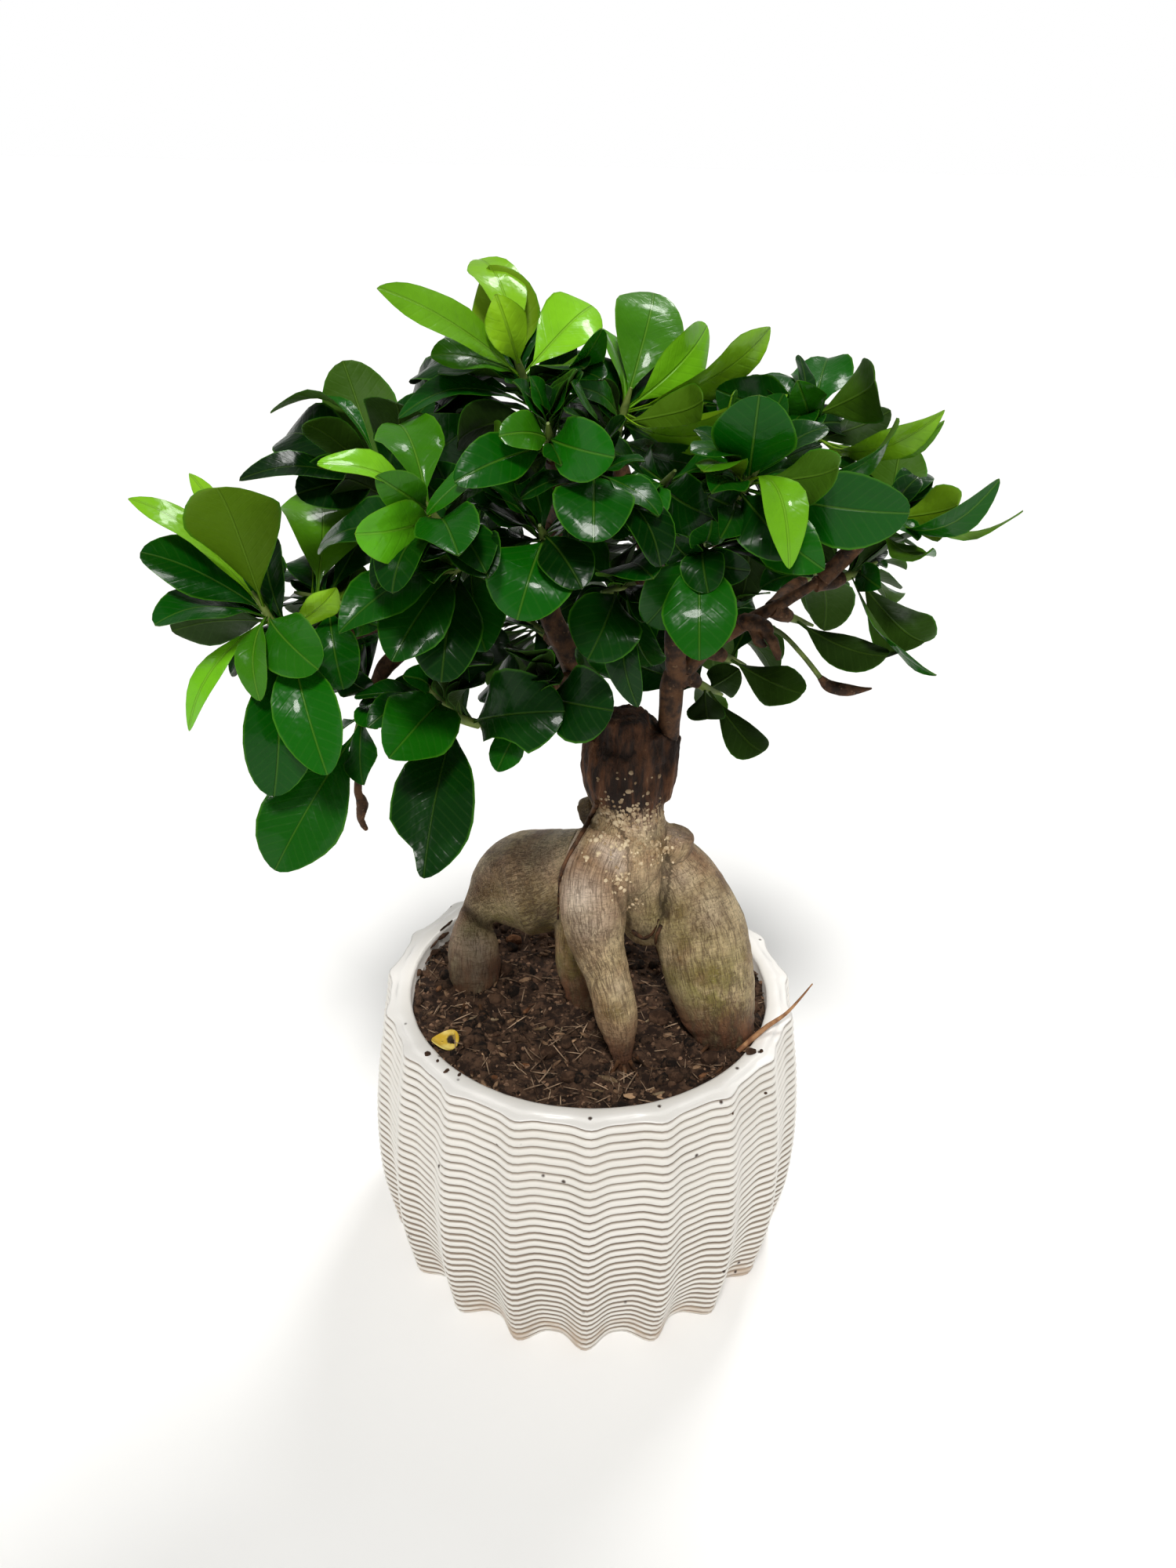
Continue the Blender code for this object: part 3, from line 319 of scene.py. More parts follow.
def soft_light(name, comes_from, width, strength, colour):
    """A far light, as wide as its angle says, that shines from a side on the whole floor."""
    data = bpy.data.lights.new(name, "SUN")
    data.energy = strength
    data.angle = math.radians(width)
    data.color = colour
    light = bpy.data.objects.new(name, data)
    light.rotation_euler = Vector(comes_from).to_track_quat("Z", "Y").to_euler()
    show(light)


def light_room():
    """Grey overhead and pale near the horizon, which the floor runs into."""
    room = bpy.data.worlds.new("pale room")
    room.use_nodes = True
    room.node_tree.nodes.clear()
    start = Flow(room.node_tree)
    rise = start.node("ShaderNodeTexCoord", None, None, "Generated").part("Z")
    shade = rise.between(0.11, 0.2).paint((1.0, 1.0, 1.0), (0.24, 0.24, 0.235))
    wall = start.node("ShaderNodeBackground", None, {"Color": shade, "Strength": 1.0})
    start.node("ShaderNodeOutputWorld", None, {"Surface": wall})
    bpy.context.scene.world = room


make_floor()
soft_light("wide light in front", (-0.04, -0.6, 1.0), 12, 2.3, (1.0, 0.985, 0.96))
soft_light("light from behind", (0.3, 0.7, 1.0), 14, 1.1, (1.0, 0.995, 0.98))
light_room()
bpy.context.scene.view_settings.view_transform = "Standard"

# The pot.
# A cast bowl in white glaze. Nineteen flutes run down it, shallow and sharp under the rim, deep
# and round at the foot, and 33 round ribs run round it one on the other. One low step runs
# round the rim.


def link_mesh(name, points, edges, faces, materials=()):
    mesh = bpy.data.meshes.new(name)
    mesh.from_pydata([tuple(point) for point in points], edges, faces)
    for material in materials:
        mesh.materials.append(material)
    thing = bpy.data.objects.new(name, mesh)
    show(thing)
    return thing


def give(thing, **columns):
    """Values for each point of a thing's mesh, numbers or vectors."""
    for name, values in columns.items():
        flat = np.asarray([tuple(value) for value in values] if isinstance(values[0], Vector) else values,
                          dtype=np.float32)
        kind, slot = ("FLOAT_VECTOR", "vector") if flat.ndim == 2 else ("FLOAT", "value")
        layer = thing.data.attributes.new(name, kind, "POINT")
        layer.data.foreach_set(slot, flat.ravel())


def new_tree(name, sizes):
    """A Geometry Nodes tree with named inputs: the flow of the geometry and of each input."""
    tree = bpy.data.node_groups.new(name, "GeometryNodeTree")
    tree.interface.new_socket("Geometry", in_out="OUTPUT", socket_type="NodeSocketGeometry")
    tree.interface.new_socket("Geometry", in_out="INPUT", socket_type="NodeSocketGeometry")
    for label, kind in sizes.items():
        tree.interface.new_socket(label, in_out="INPUT", socket_type=f"NodeSocket{kind}")
    start = Flow(tree).node("NodeGroupInput")
    return tree, start, {label: start.other(label) for label in sizes}


def end_tree(geometry, material):
    """Close a tree: what it placed is made real and gets its material."""
    real = geometry.made_real()
    round_shaded = real.node("GeometryNodeSetShadeSmooth", None, {0: real})
    painted = real.node("GeometryNodeSetMaterial", None, {0: round_shaded, "Material": material})
    painted.node("NodeGroupOutput", None, {0: painted})


def run_tree(thing, tree, sizes):
    """Give a thing the plain mesh that a tree makes of its own."""
    modifier = thing.modifiers.new(tree.name, "NODES")
    modifier.node_group = tree
    for item in tree.interface.items_tree:
        if item.in_out == "INPUT" and item.name in sizes:
            modifier[item.identifier] = sizes[item.name]
    keep_shape(thing)


def keep_shape(thing):
    """Keep the shape that the modifiers give and take them off."""
    depsgraph = bpy.context.evaluated_depsgraph_get()
    shaped = bpy.data.meshes.new_from_object(
        thing.evaluated_get(depsgraph), preserve_all_data_layers=True, depsgraph=depsgraph)
    plain = thing.data
    thing.modifiers.clear()
    thing.data = shaped
    bpy.data.meshes.remove(plain)


def face_outwards(thing):
    work = bmesh.new()
    work.from_mesh(thing.data)
    bmesh.ops.remove_doubles(work, verts=work.verts, dist=0.01 * MM)
    bmesh.ops.recalc_face_normals(work, faces=work.faces)
    work.to_mesh(thing.data)
    work.free()


POT_HEIGHT = 0.1062
OPENING_RADIUS = 0.065
CREST_RADII = (0.0751, 0.0795, 0.0803, 0.0782, 0.0745)
FLUTES = 19
FIRST_CREST = math.radians(1.1)
FLUTE_DEPTH_AT_FOOT = 0.007
FLUTE_DEPTH_AT_RIM = 0.0022
FLUTE_FADING = 0.6
CREST_SHARPNESS = 1.5
SHARPER_PER_METRE = 14.0
COLUMNS_PER_FLUTE = 14
RIBS = 33
ROWS_PER_RIB = 7
RIB_RELIEF = 0.0018
RIM_ROUND = 0.0012
FOOT_ROUND = 0.0012
INSIDE_DEPTH = 0.012
# How steeply the ribs fade at the rim and at the foot, and the worn edge below the rim, which is also
# painted lighter
RIB_FADES_AT_RIM = 90
RIB_FADES_AT_FOOT = 40
EDGE_FADES = 30
# The rib number and the rib weight of a row without ribs
NO_RIB = (0.5, 0.0)
# The rounded shoulder outside the rim and the low step up to it, as (inset, drop) in mm
SHOULDER = ((0.25, 0.8), (0.9, 0.7), (2.2, 0.6))
RIM_STEP = ((3.3, 0.5), (3.9, 0.08), (4.6, 0.0))


def crest_radius(share):
    """The pot's outer radius along a flute's crest, at a share of its height."""
    last = len(CREST_RADII) - 1
    place = share * last
    span = min(int(place), last - 1)
    u = place - span
    a, b, c, d = (CREST_RADII[min(max(span + step, 0), last)] for step in (-1, 0, 1, 2))
    return (2 * b + (c - a) * u + (2 * a - 5 * b + 4 * c - d) * u ** 2
            + (3 * b - a - 3 * c + d) * u ** 3) / 2


def pot_profile():
    """Rows of (radius, height, flute depth, rib number, rib weight, edge), from the foot's middle up."""
    foot = crest_radius(0)
    rows = [(0.0, 0.0, 0.0, *NO_RIB, 0.0), (foot * 0.6, 0.0, 0.0, *NO_RIB, 0.0),
            (foot - FOOT_ROUND, 0.0, FLUTE_DEPTH_AT_FOOT, *NO_RIB, 0.0)]
    count = RIBS * ROWS_PER_RIB
    for row in range(1, count - 1):
        share = row / count
        depth = FLUTE_DEPTH_AT_FOOT + (FLUTE_DEPTH_AT_RIM - FLUTE_DEPTH_AT_FOOT) * share ** FLUTE_FADING
        weight = min(1.0, RIB_FADES_AT_RIM * (1 - share)) * min(1.0, RIB_FADES_AT_FOOT * share)
        edge = max(0.0, 1 - EDGE_FADES * (1 - share))
        rows.append((crest_radius(share), POT_HEIGHT * share, depth, RIBS * share + 0.5, weight, edge))
    top = crest_radius(1)
    for inset, drop in SHOULDER:
        rows.append((top - inset * MM, POT_HEIGHT - drop * MM, FLUTE_DEPTH_AT_RIM, *NO_RIB, 1.0))
    for inset, drop in RIM_STEP:
        rows.append((top - inset * MM, POT_HEIGHT - drop * MM, FLUTE_DEPTH_AT_RIM / 2, *NO_RIB, 1.0))
    for out, drop in ((1.0, 0.0), (0.3, 0.3), (0.0, 1.0)):
        rows.append((OPENING_RADIUS + out * RIM_ROUND, POT_HEIGHT - drop * RIM_ROUND, 0.0, *NO_RIB, 0.4))
    rows.append((OPENING_RADIUS, POT_HEIGHT - INSIDE_DEPTH, 0.0, *NO_RIB, 0.0))
    rows.append((0.0, POT_HEIGHT - INSIDE_DEPTH, 0.0, *NO_RIB, 0.0))
    return rows


def pot_tree():
    tree, start, size = new_tree("fluted and ribbed wall", {
        "Columns": "Int", "Rows": "Int", "Flutes": "Float", "First Crest": "Float",
        "Crest Sharpness": "Float", "Sharper Upward": "Float", "Rib Relief": "Float",
        "Unevenness": "Float", "Raggedness": "Float", "Material": "Material"})
    grid = start.node("GeometryNodeMeshGrid", None, {
        "Size X": 1.0, "Size Y": 1.0, "Vertices X": size["Columns"], "Vertices Y": size["Rows"]}, "Mesh")
    corner = start.node("GeometryNodeInputPosition").part("X")
    angle = corner * (2 * math.pi)
    row = (corner.other("Y") + 0.5) * (size["Rows"] - 1.0)
    row = row.maths("ROUND")

    def read(name):
        return start.node("GeometryNodeSampleIndex", {"data_type": "FLOAT", "domain": "POINT"},
                          {"Geometry": start, "Value": start.named(name), "Index": row})

    height = read("height")
    turn = (angle - size["First Crest"]) * size["Flutes"]
    sharpness = size["Crest Sharpness"] + height * size["Sharper Upward"]
    crest = (turn.cosine() * 0.5 + 0.5) ** sharpness
    round_the_pot = start.joined(angle.sine(), angle.cosine(), height * 14.0)
    wander = round_the_pot.grain(2.2, 2.0) - 0.5
    phase = read("rib") + wander * size["Unevenness"]
    across_rib = phase.maths("FRACT") * 2.0 - 1.0
    bead = (1.0 - across_rib * across_rib).positive() ** 0.5
    groove = (1.0 - bead) * read("weight")
    fullness = 0.8 + round_the_pot.grain(6.0) * 0.4
    ragged = (round_the_pot.grain(11.0, 3.0) - 0.5) * read("edge")
    radius = (read("radius") - read("depth") * (1.0 - crest) + ragged * size["Raggedness"]
              + (bead - 0.62) * read("weight") * size["Rib Relief"] * fullness)
    place = start.joined(radius * angle.sine(), radius * angle.cosine() * -1.0,
                         height + ragged * size["Raggedness"] * 0.3)
    grid = grid.stored("groove", groove).stored("edge", read("edge"))
    shaped = start.node("GeometryNodeSetPosition", None, {"Geometry": grid, "Position": place})
    end_tree(shaped, size["Material"])
    return tree


def pot_glaze():
    """White glaze: grooves dark with dirt and painted shade, a painted lit rim, brown foot stains, dark
    soil specks.
    """
    glaze, start, finish = new_material("white glaze", specular=0.5, coat=0.15, coat_roughness=0.2)
    place = start.object_place()
    height = place.part("Z")
    groove = start.attribute("groove")
    cloud = place.grain(28.0, 4.0)
    glaze_with_lit_rim = cloud.paint((0.72, 0.69, 0.63), (0.84, 0.81, 0.76))
    # Painted light: the rim and the rounded edge below it are painted whiter, as if lit from above.
    glaze_with_lit_rim = (start.attribute("edge") * 0.8).paint(glaze_with_lit_rim, (0.93, 0.91, 0.88))
    # Painted shade: the grooves are painted dark brown, more so towards the foot where the ribs hide them,
    # over dirt that lies in them.
    groove_shade_deepens = 2.2 - height.between(0.0, 0.085) * 1.2
    dust_and_groove_shade = (groove * groove_shade_deepens).between(0.16, 0.6).paint(glaze_with_lit_rim, (0.25, 0.195, 0.145))
    foot = (1.0 - height.between(0.0, 0.022)) * place.grain(90.0, 3.0).between(0.4, 0.7)
    stained = (foot * 0.8).paint(dust_and_groove_shade, (0.45, 0.33, 0.23))
    cell = place.moved(place.grain(500.0).scaled(1.2 * MM)).node("ShaderNodeTexVoronoi", None, {
        "Vector": place, "Scale": 140.0})
    chosen = start.node("ShaderNodeSeparateColor", None, {0: cell.other("Color")})
    near_rim = height.between(0.103, 0.106) * 0.15 + 0.2
    speck = ((1.0 - cell.between(0.05, 0.14)) * chosen.maths("LESS_THAN", near_rim)
             * place.grain(900.0, 2.0).between(0.3, 0.45))
    finish(Base_Color=speck.paint(stained, (0.05, 0.03, 0.02)),
           Roughness=0.3 + cloud * 0.15 + groove * 0.25 + speck * 0.3,
           Normal=(place.grain(420.0, 3.0) + speck * 1.5).bump(0.35, 0.3 * MM))
    return glaze


def make_pot():
    rows = pot_profile()
    pot = link_mesh("ribbed_pot", [(0, 0, row[1]) for row in rows], [], [])
    labels = ("radius", "height", "depth", "rib", "weight", "edge")
    give(pot, **{label: [row[index] for row in rows] for index, label in enumerate(labels)})
    run_tree(pot, pot_tree(), {
        "Columns": FLUTES * COLUMNS_PER_FLUTE + 1, "Rows": len(rows), "Flutes": float(FLUTES),
        "First Crest": FIRST_CREST, "Crest Sharpness": CREST_SHARPNESS,
        "Sharper Upward": SHARPER_PER_METRE, "Rib Relief": RIB_RELIEF,
        "Unevenness": 0.35, "Raggedness": 1.6 * MM, "Material": pot_glaze()})
    face_outwards(pot)
    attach(pot, "root")
    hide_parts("pot")


make_pot()


# The soil.
# Dark peat with roots' fibres, crumbs and chips of bark, filled to just under the rim. The bed
# is one uneven disc, and what lies on it is strewn by rule from a fixed seed.
SOIL_LEVEL = 0.1015
SOIL_SINKS = 0.002
CLOD_HEIGHT = 0.0017
CLOD_FINENESS = 90
HEAP_HEIGHT = 0.0016
HEAP_REACH = 0.004
SOIL_RINGS = 70
SOIL_COLUMNS = 200
SOIL_DEPTH = 0.02


def surface_of(thing):
    """A thing's mesh, for finding its nearest point or what a line meets."""
    points = [vertex.co for vertex in thing.data.vertices]
    return BVHTree.FromPolygons(points, [tuple(face.vertices) for face in thing.data.polygons])


TREE_SOLID = surface_of(frame["nodes"]["trunk_and_roots"])


def soil_height(x, y):
    """The uneven top of the soil: heaped against the roots, lower at the back on the left."""
    clods = noise.noise(Vector((x, y, 0)) * CLOD_FINENESS)
    sunk = SOIL_SINKS * max(0.0, min(1.0, (y - x) / OPENING_RADIUS))
    gap = TREE_SOLID.find_nearest(Vector((x, y, SOIL_LEVEL)))[3]
    heaped = HEAP_HEIGHT * math.exp(-(gap / HEAP_REACH) ** 2) * (1.0 + clods)
    return SOIL_LEVEL + CLOD_HEIGHT * clods - sunk + heaped


def disc_faces(rings, columns):
    """Triangles round a middle point and squares between rings, numbered from the middle out."""
    faces = [(0, 1 + column, 1 + (column + 1) % columns) for column in range(columns)]
    for ring in range(rings - 1):
        for column in range(columns):
            low = 1 + ring * columns + column
            high = 1 + ring * columns + (column + 1) % columns
            faces.append((low, low + columns, high + columns, high))
    return faces


def soil_bed(earth):
    """The disc of soil with clods down to a millimetre across."""
    edge = OPENING_RADIUS - 0.4 * MM
    points = [Vector((0, 0, soil_height(0, 0)))]
    for ring in range(1, SOIL_RINGS + 1):
        radius = edge * ring / SOIL_RINGS
        for column in range(SOIL_COLUMNS):
            angle = 2 * math.pi * column / SOIL_COLUMNS
            x, y = radius * math.sin(angle), -radius * math.cos(angle)
            fine = noise.fractal(Vector((x, y, 0)) * 260, 0.8, 2.0, 4)
            lumps = max(-0.4, noise.noise(Vector((x, y, 3)) * 150)) * 2.4
            points.append(Vector((x, y, soil_height(x, y) + (0.55 * fine + lumps) * MM)))
    floor = [Vector((point.x, point.y, SOIL_LEVEL - SOIL_DEPTH)) for point in points[-SOIL_COLUMNS:]]
    points += floor
    faces = disc_faces(SOIL_RINGS + 1, SOIL_COLUMNS)
    faces.append(tuple(range(len(points) - SOIL_COLUMNS, len(points))))
    bed = link_mesh("soil_bed", points, [], faces, [earth])
    face_outwards(bed)
    bed.data.shade_smooth()
    return bed


def strewn_tree():
    """Bits that lie strewn on the upward faces of a bed, each turned and sized by chance."""
    tree, start, size = new_tree("strewn bits", {
        "Density": "Float", "Seed": "Int", "Length": "Float", "Width": "Float", "Thickness": "Float",
        "Bend": "Float", "Roughness": "Float", "Sink": "Float", "Material": "Material"})
    normal = start.node("GeometryNodeInputNormal").part("Z")
    spread = start.node("GeometryNodeDistributePointsOnFaces", None, {
        "Mesh": start, "Selection": normal.maths("GREATER_THAN", 0.3),
        "Density": size["Density"], "Seed": size["Seed"]}, "Points")

    def chance(low, high, offset, kind="FLOAT"):
        sockets = {"FLOAT": (2, 3, 1), "FLOAT_VECTOR": (0, 1, 0)}[kind]
        return start.node("FunctionNodeRandomValue", {"data_type": kind}, {
            sockets[0]: low, sockets[1]: high, "Seed": size["Seed"] + float(offset)}, sockets[2])

    ball = start.node("GeometryNodeMeshUVSphere", None, {"Segments": 7, "Rings": 5, "Radius": 0.5}, "Mesh")
    tilt = chance((-0.35, -0.35, 0.0), (0.35, 0.35, 6.283), 1, "FLOAT_VECTOR")
    grow = chance(0.45, 1.0, 2)
    stretch = start.joined(size["Length"] * grow * chance(0.5, 1.0, 3), size["Width"] * grow,
                           size["Thickness"] * grow)
    placed = start.node("GeometryNodeInstanceOnPoints", None, {
        "Points": spread, "Instance": ball, "Rotation": tilt, "Scale": stretch})
    real = placed.stored("tone", chance(0.0, 1.0, 4), "INSTANCE").made_real()
    place = start.node("GeometryNodeInputPosition")
    bend = place.jitter(45.0, 0.0, size["Bend"])
    jag = place.jitter(600.0, 1.0, size["Roughness"])
    sunk = start.joined(0.0, 0.0, size["Sink"] * -1.0)
    shaped = start.node("GeometryNodeSetPosition", None, {
        "Geometry": real, "Offset": bend.moved(jag, sunk)})
    end_tree(shaped, size["Material"])
    return tree


def earth_material(name, dark, light, fineness):
    earth, start, finish = new_material(name, roughness=0.95, specular=0.25)
    place = start.object_place()
    tone = start.attribute("tone")
    cloud = place.grain(fineness, 5.0, 0.65)
    finish(Base_Color=(cloud.between(0.42, 0.62) * 0.5 + tone ** 5.0).paint(dark, light),
           Normal=place.grain(fineness * 4, 5.0, 0.7).bump(1.0, 1.0 * MM))
    return earth


# Strewn bits: how many to the square metre, their seed, then their length, width, thickness, bend,
# roughness and sink in mm, their dark and light colour, and how fine its clouds are
STREWN_SIZES = ("Length", "Width", "Thickness", "Bend", "Roughness", "Sink")
STREWN_BITS = {
    "soil_crumbs": (170000.0, 3, (2.4, 1.9, 1.6, 0.0, 1.4, 0.2),
                    (0.011, 0.006, 0.003), (0.42, 0.245, 0.15), 420.0),
    "soil_clods": (11000.0, 12, (8.0, 6.0, 5.0, 1.5, 2.6, 0.0),
                   (0.01, 0.006, 0.004), (0.15, 0.082, 0.048), 420.0),
    "soil_fibres": (34000.0, 5, (15.0, 0.5, 0.45, 7.0, 0.0, -0.6),
                    (0.05, 0.025, 0.014), (0.62, 0.43, 0.28), 120.0),
    "bark_chips": (11000.0, 8, (8.0, 2.2, 1.1, 1.5, 1.1, -0.3),
                   (0.06, 0.028, 0.016), (0.56, 0.35, 0.2), 160.0),
}


def make_soil():
    bed = soil_bed(earth_material("peat", (0.026, 0.014, 0.009), (0.19, 0.105, 0.062), 240.0))
    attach(bed, "root")
    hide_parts("soil")
    tree = strewn_tree()
    for name, (density, seed, sizes, dark, light, fineness) in STREWN_BITS.items():
        bits = bpy.data.objects.new(name, bed.data.copy())
        show(bits)
        run_tree(bits, tree, {
            "Density": density, "Seed": seed, "Material": earth_material(name, dark, light, fineness),
            **{label: value * MM for label, value in zip(STREWN_SIZES, sizes)}})
        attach(bits, "root")


make_soil()

# The trunk and its swollen roots.
# Living wood, all grown as one: a short cut column on fat roots that narrow into the soil.
# The knots of each limb are (across, down, depth in mm, radius in mm) in the picture.
LIMBS = {
    "trunk": [(797, 921, 2, 9.5), (797, 936, 3, 13.0), (797, 956, 3, 14.6), (797, 984, 2, 14.6),
              (799, 1008, 0, 13.2), (802, 1032, -1, 11.8), (800, 1060, -2, 14.4), (798, 1092, -3, 15.8),
              (806, 1120, -1, 13.5)],
    "cut_top": [(800, 940, 0, 9.4), (797, 910, 0, 7.6)],
    "cut_shoulder": [(822, 962, -1, 8.6), (828, 930, -1, 6.8)],
    "right_shoulder": [(836, 1014, 0, 5.6), (847, 976, 0, 5.0), (852, 936, 0, 4.2)],
    "middle": [(812, 1090, -2, 14.0), (822, 1130, -4, 12.6), (826, 1165, -4, 10.6), (823, 1190, -3, 7.6)],
    "front_root": [(778, 1072, -7, 11.5), (758, 1118, -15, 11.5), (757, 1162, -21, 11.4),
                   (762, 1202, -26, 9.4), (774, 1240, -31, 7.7), (783, 1276, -35, 7.4),
                   (788, 1302, -37, 7.0), (791, 1324, -39, 5.4), (794, 1346, -41, 3.6),
                   (796, 1370, -43, 2.5)],
    "right_root": [(848, 1086, 0, 9.5), (874, 1126, -3, 12.6), (891, 1176, -8, 15.8),
                   (902, 1228, -14, 16.2), (913, 1278, -19, 14.2), (924, 1318, -23, 10.8),
                   (929, 1352, -26, 7.8)],
    "left_root": [(762, 1098, 6, 13.0), (718, 1116, 15, 17.4), (676, 1126, 21, 19.6), (640, 1138, 20, 16.0),
                  (608, 1160, 14, 6.0), (604, 1178, 12, 7.2), (604, 1202, 9, 9.2), (605, 1230, 7, 9.7),
                  (606, 1258, 5, 8.8), (608, 1282, 4, 7.4)],
    "back_root": [(764, 1120, 6, 10.5), (742, 1172, 3, 9.2), (737, 1222, -2, 8.2), (747, 1268, -6, 7.2),
                  (752, 1292, -8, 6.2)],
    "left_knob": [(765, 1036, 8, 7.0), (746, 1042, 9, 6.6)],
    "right_knob": [(838, 1092, -2, 6.5), (858, 1080, -5, 6.0), (867, 1060, -5, 5.8)],
}
LIMB_VOXEL = 0.8 * MM
LIMB_STEPS = 6
LIMB_SIDES = 22
LIMB_SOFTENING = 12
NECK = (800, 1032, -1)
# How far the skin rises on its own, in mm
LUMP_RISE = 0.4
FOLD_RISE = 0.18
FLAKY_RISE = 0.35
FLAKE_RISE = 0.75
SCALE_RISE = 0.45


def smooth_route(knots, radii, steps):
    """Stations (centre, tangent, radius) of a smooth curve through the knots."""
    places = [knots[0] * 2 - knots[1], *knots, knots[-1] * 2 - knots[-2]]
    sizes = [radii[0], *radii, radii[-1]]
    stations = []
    for span in range(len(knots) - 1):
        last = span == len(knots) - 2
        for step in range(steps + (1 if last else 0)):
            u = step / steps
            weights = ((2 * u ** 2 - u - u ** 3) / 2, (2 - 5 * u ** 2 + 3 * u ** 3) / 2,
                       (u + 4 * u ** 2 - 3 * u ** 3) / 2, (u ** 3 - u ** 2) / 2)
            slopes = ((4 * u - 1 - 3 * u ** 2) / 2, (9 * u ** 2 - 10 * u) / 2,
                      (1 + 8 * u - 9 * u ** 2) / 2, (3 * u ** 2 - 2 * u) / 2)
            centre = sum((places[span + n] * weights[n] for n in range(4)), Vector())
            tangent = sum((places[span + n] * slopes[n] for n in range(4)), Vector())
            radius = sum(sizes[span + n] * weights[n] for n in range(4))
            stations.append((centre, tangent.normalized(), radius))
    return stations


def limb_stations(knots):
    centres = [seen_at(across, down, depth) for across, down, depth, _ in knots]
    return smooth_route(centres, [knot[3] * MM for knot in knots], LIMB_STEPS)


def tube_mesh(stations, sides):
    """Points and faces of a closed round bar through stations."""
    points = []
    aside = stations[0][1].orthogonal().normalized()
    for centre, tangent, radius in stations:
        aside = (aside - tangent * aside.dot(tangent)).normalized()
        across = tangent.cross(aside)
        for side in range(sides):
            angle = 2 * math.pi * side / sides
            points.append(centre + (aside * math.cos(angle) + across * math.sin(angle)) * radius)
    faces = [tuple(range(sides))]
    for ring in range(len(stations) - 1):
        for side in range(sides):
            low = ring * sides + side
            high = ring * sides + (side + 1) % sides
            faces.append((low, high, high + sides, low + sides))
    faces.append(tuple(range(len(points) - sides, len(points))))
    return points, faces


def melted_limbs():
    """All limbs melted into one smooth body."""
    work = bmesh.new()
    for knots in LIMBS.values():
        points, faces = tube_mesh(limb_stations(knots), LIMB_SIDES)
        corners = [work.verts.new(point) for point in points]
        made = [work.faces.new([corners[index] for index in face]) for face in faces]
        bmesh.ops.recalc_face_normals(work, faces=made)
    body = link_mesh("swollen_roots", [], [], [])
    work.to_mesh(body.data)
    work.free()
    melt = body.modifiers.new("melt together", "REMESH")
    melt.mode = "VOXEL"
    melt.voxel_size = LIMB_VOXEL
    soften = body.modifiers.new("soften", "SMOOTH")
    soften.iterations = LIMB_SOFTENING
    keep_shape(body)
    body.data.shade_smooth()
    return body


def nearest_stations(places):
    """For each place, its limb's nearest station: how far along, and the offset from its middle."""
    centres, tangents, asides, radii, alongs = [], [], [], [], []
    for order, knots in enumerate(LIMBS.values()):
        stations = limb_stations(knots)
        aside = stations[0][1].orthogonal().normalized()
        along = 0.4 * order
        before = stations[0][0]
        for centre, tangent, radius in stations:
            along += (centre - before).length
            before = centre
            aside = (aside - tangent * aside.dot(tangent)).normalized()
            centres.append(centre)
            tangents.append(tangent)
            asides.append(aside)
            radii.append(radius)
            alongs.append(along)
    centres, tangents, asides, radii, alongs = (
        np.array([tuple(row) if isinstance(row, Vector) else row for row in column])
        for column in (centres, tangents, asides, radii, alongs))
    grain = np.empty((len(places), 3))
    for first in range(0, len(places), 5000):
        some = places[first:first + 5000]
        gaps = np.linalg.norm(some[:, None, :] - centres[None, :, :], axis=2) - radii
        near = gaps.argmin(axis=1)
        offset = some - centres[near]
        tangent, aside = tangents[near], asides[near]
        across = np.cross(tangent, aside)
        grain[first:first + 5000, 0] = (offset * aside).sum(axis=1)
        grain[first:first + 5000, 1] = (offset * across).sum(axis=1)
        grain[first:first + 5000, 2] = (offset * tangent).sum(axis=1) + alongs[near]
    return grain


# Marks on the wood: (across, down, radius in mm, weight) where the picture shows them
MOSS = [(905, 1270, 14, 1.0), (935, 1240, 9, 0.7), (880, 1200, 12, 0.5), (700, 1180, 12, 0.8),
        (640, 1150, 8, 0.5), (600, 1215, 6, 0.3), (720, 1235, 10, 1.0), (850, 1170, 9, 0.6),
        (815, 1150, 8, 0.4), (860, 1250, 9, 0.7), (780, 1290, 5, 0.4), (745, 1075, 5, 0.3),
        (598, 1186, 4, 0.5), (640, 1175, 9, 0.7)]
# Pale marks: pale bark, and painted highlights on the roots' tops and painted light on the leg and  the
# right root, where the crown shades them
PALE_AND_HIGHLIT = [(738, 1145, 8, 1.0), (750, 1180, 7, 0.6), (783, 1092, 5, 1.0), (768, 1082, 4, 0.8),
        (792, 1108, 3, 0.8), (735, 1075, 4, 0.7), (725, 1100, 3, 0.6), (700, 1090, 10, 0.25),
        (870, 1120, 6, 0.4), (790, 1260, 4, 0.3), (905, 1160, 8, 0.35), (862, 1064, 4, 0.6),
        (815, 1050, 7, 0.4), (815, 1010, 3, 0.4), (776, 1000, 3, 0.3), (812, 1140, 9, 0.3),
        (757, 1175, 9, 0.5), (605, 1212, 9, 0.7), (606, 1242, 8, 0.5)]
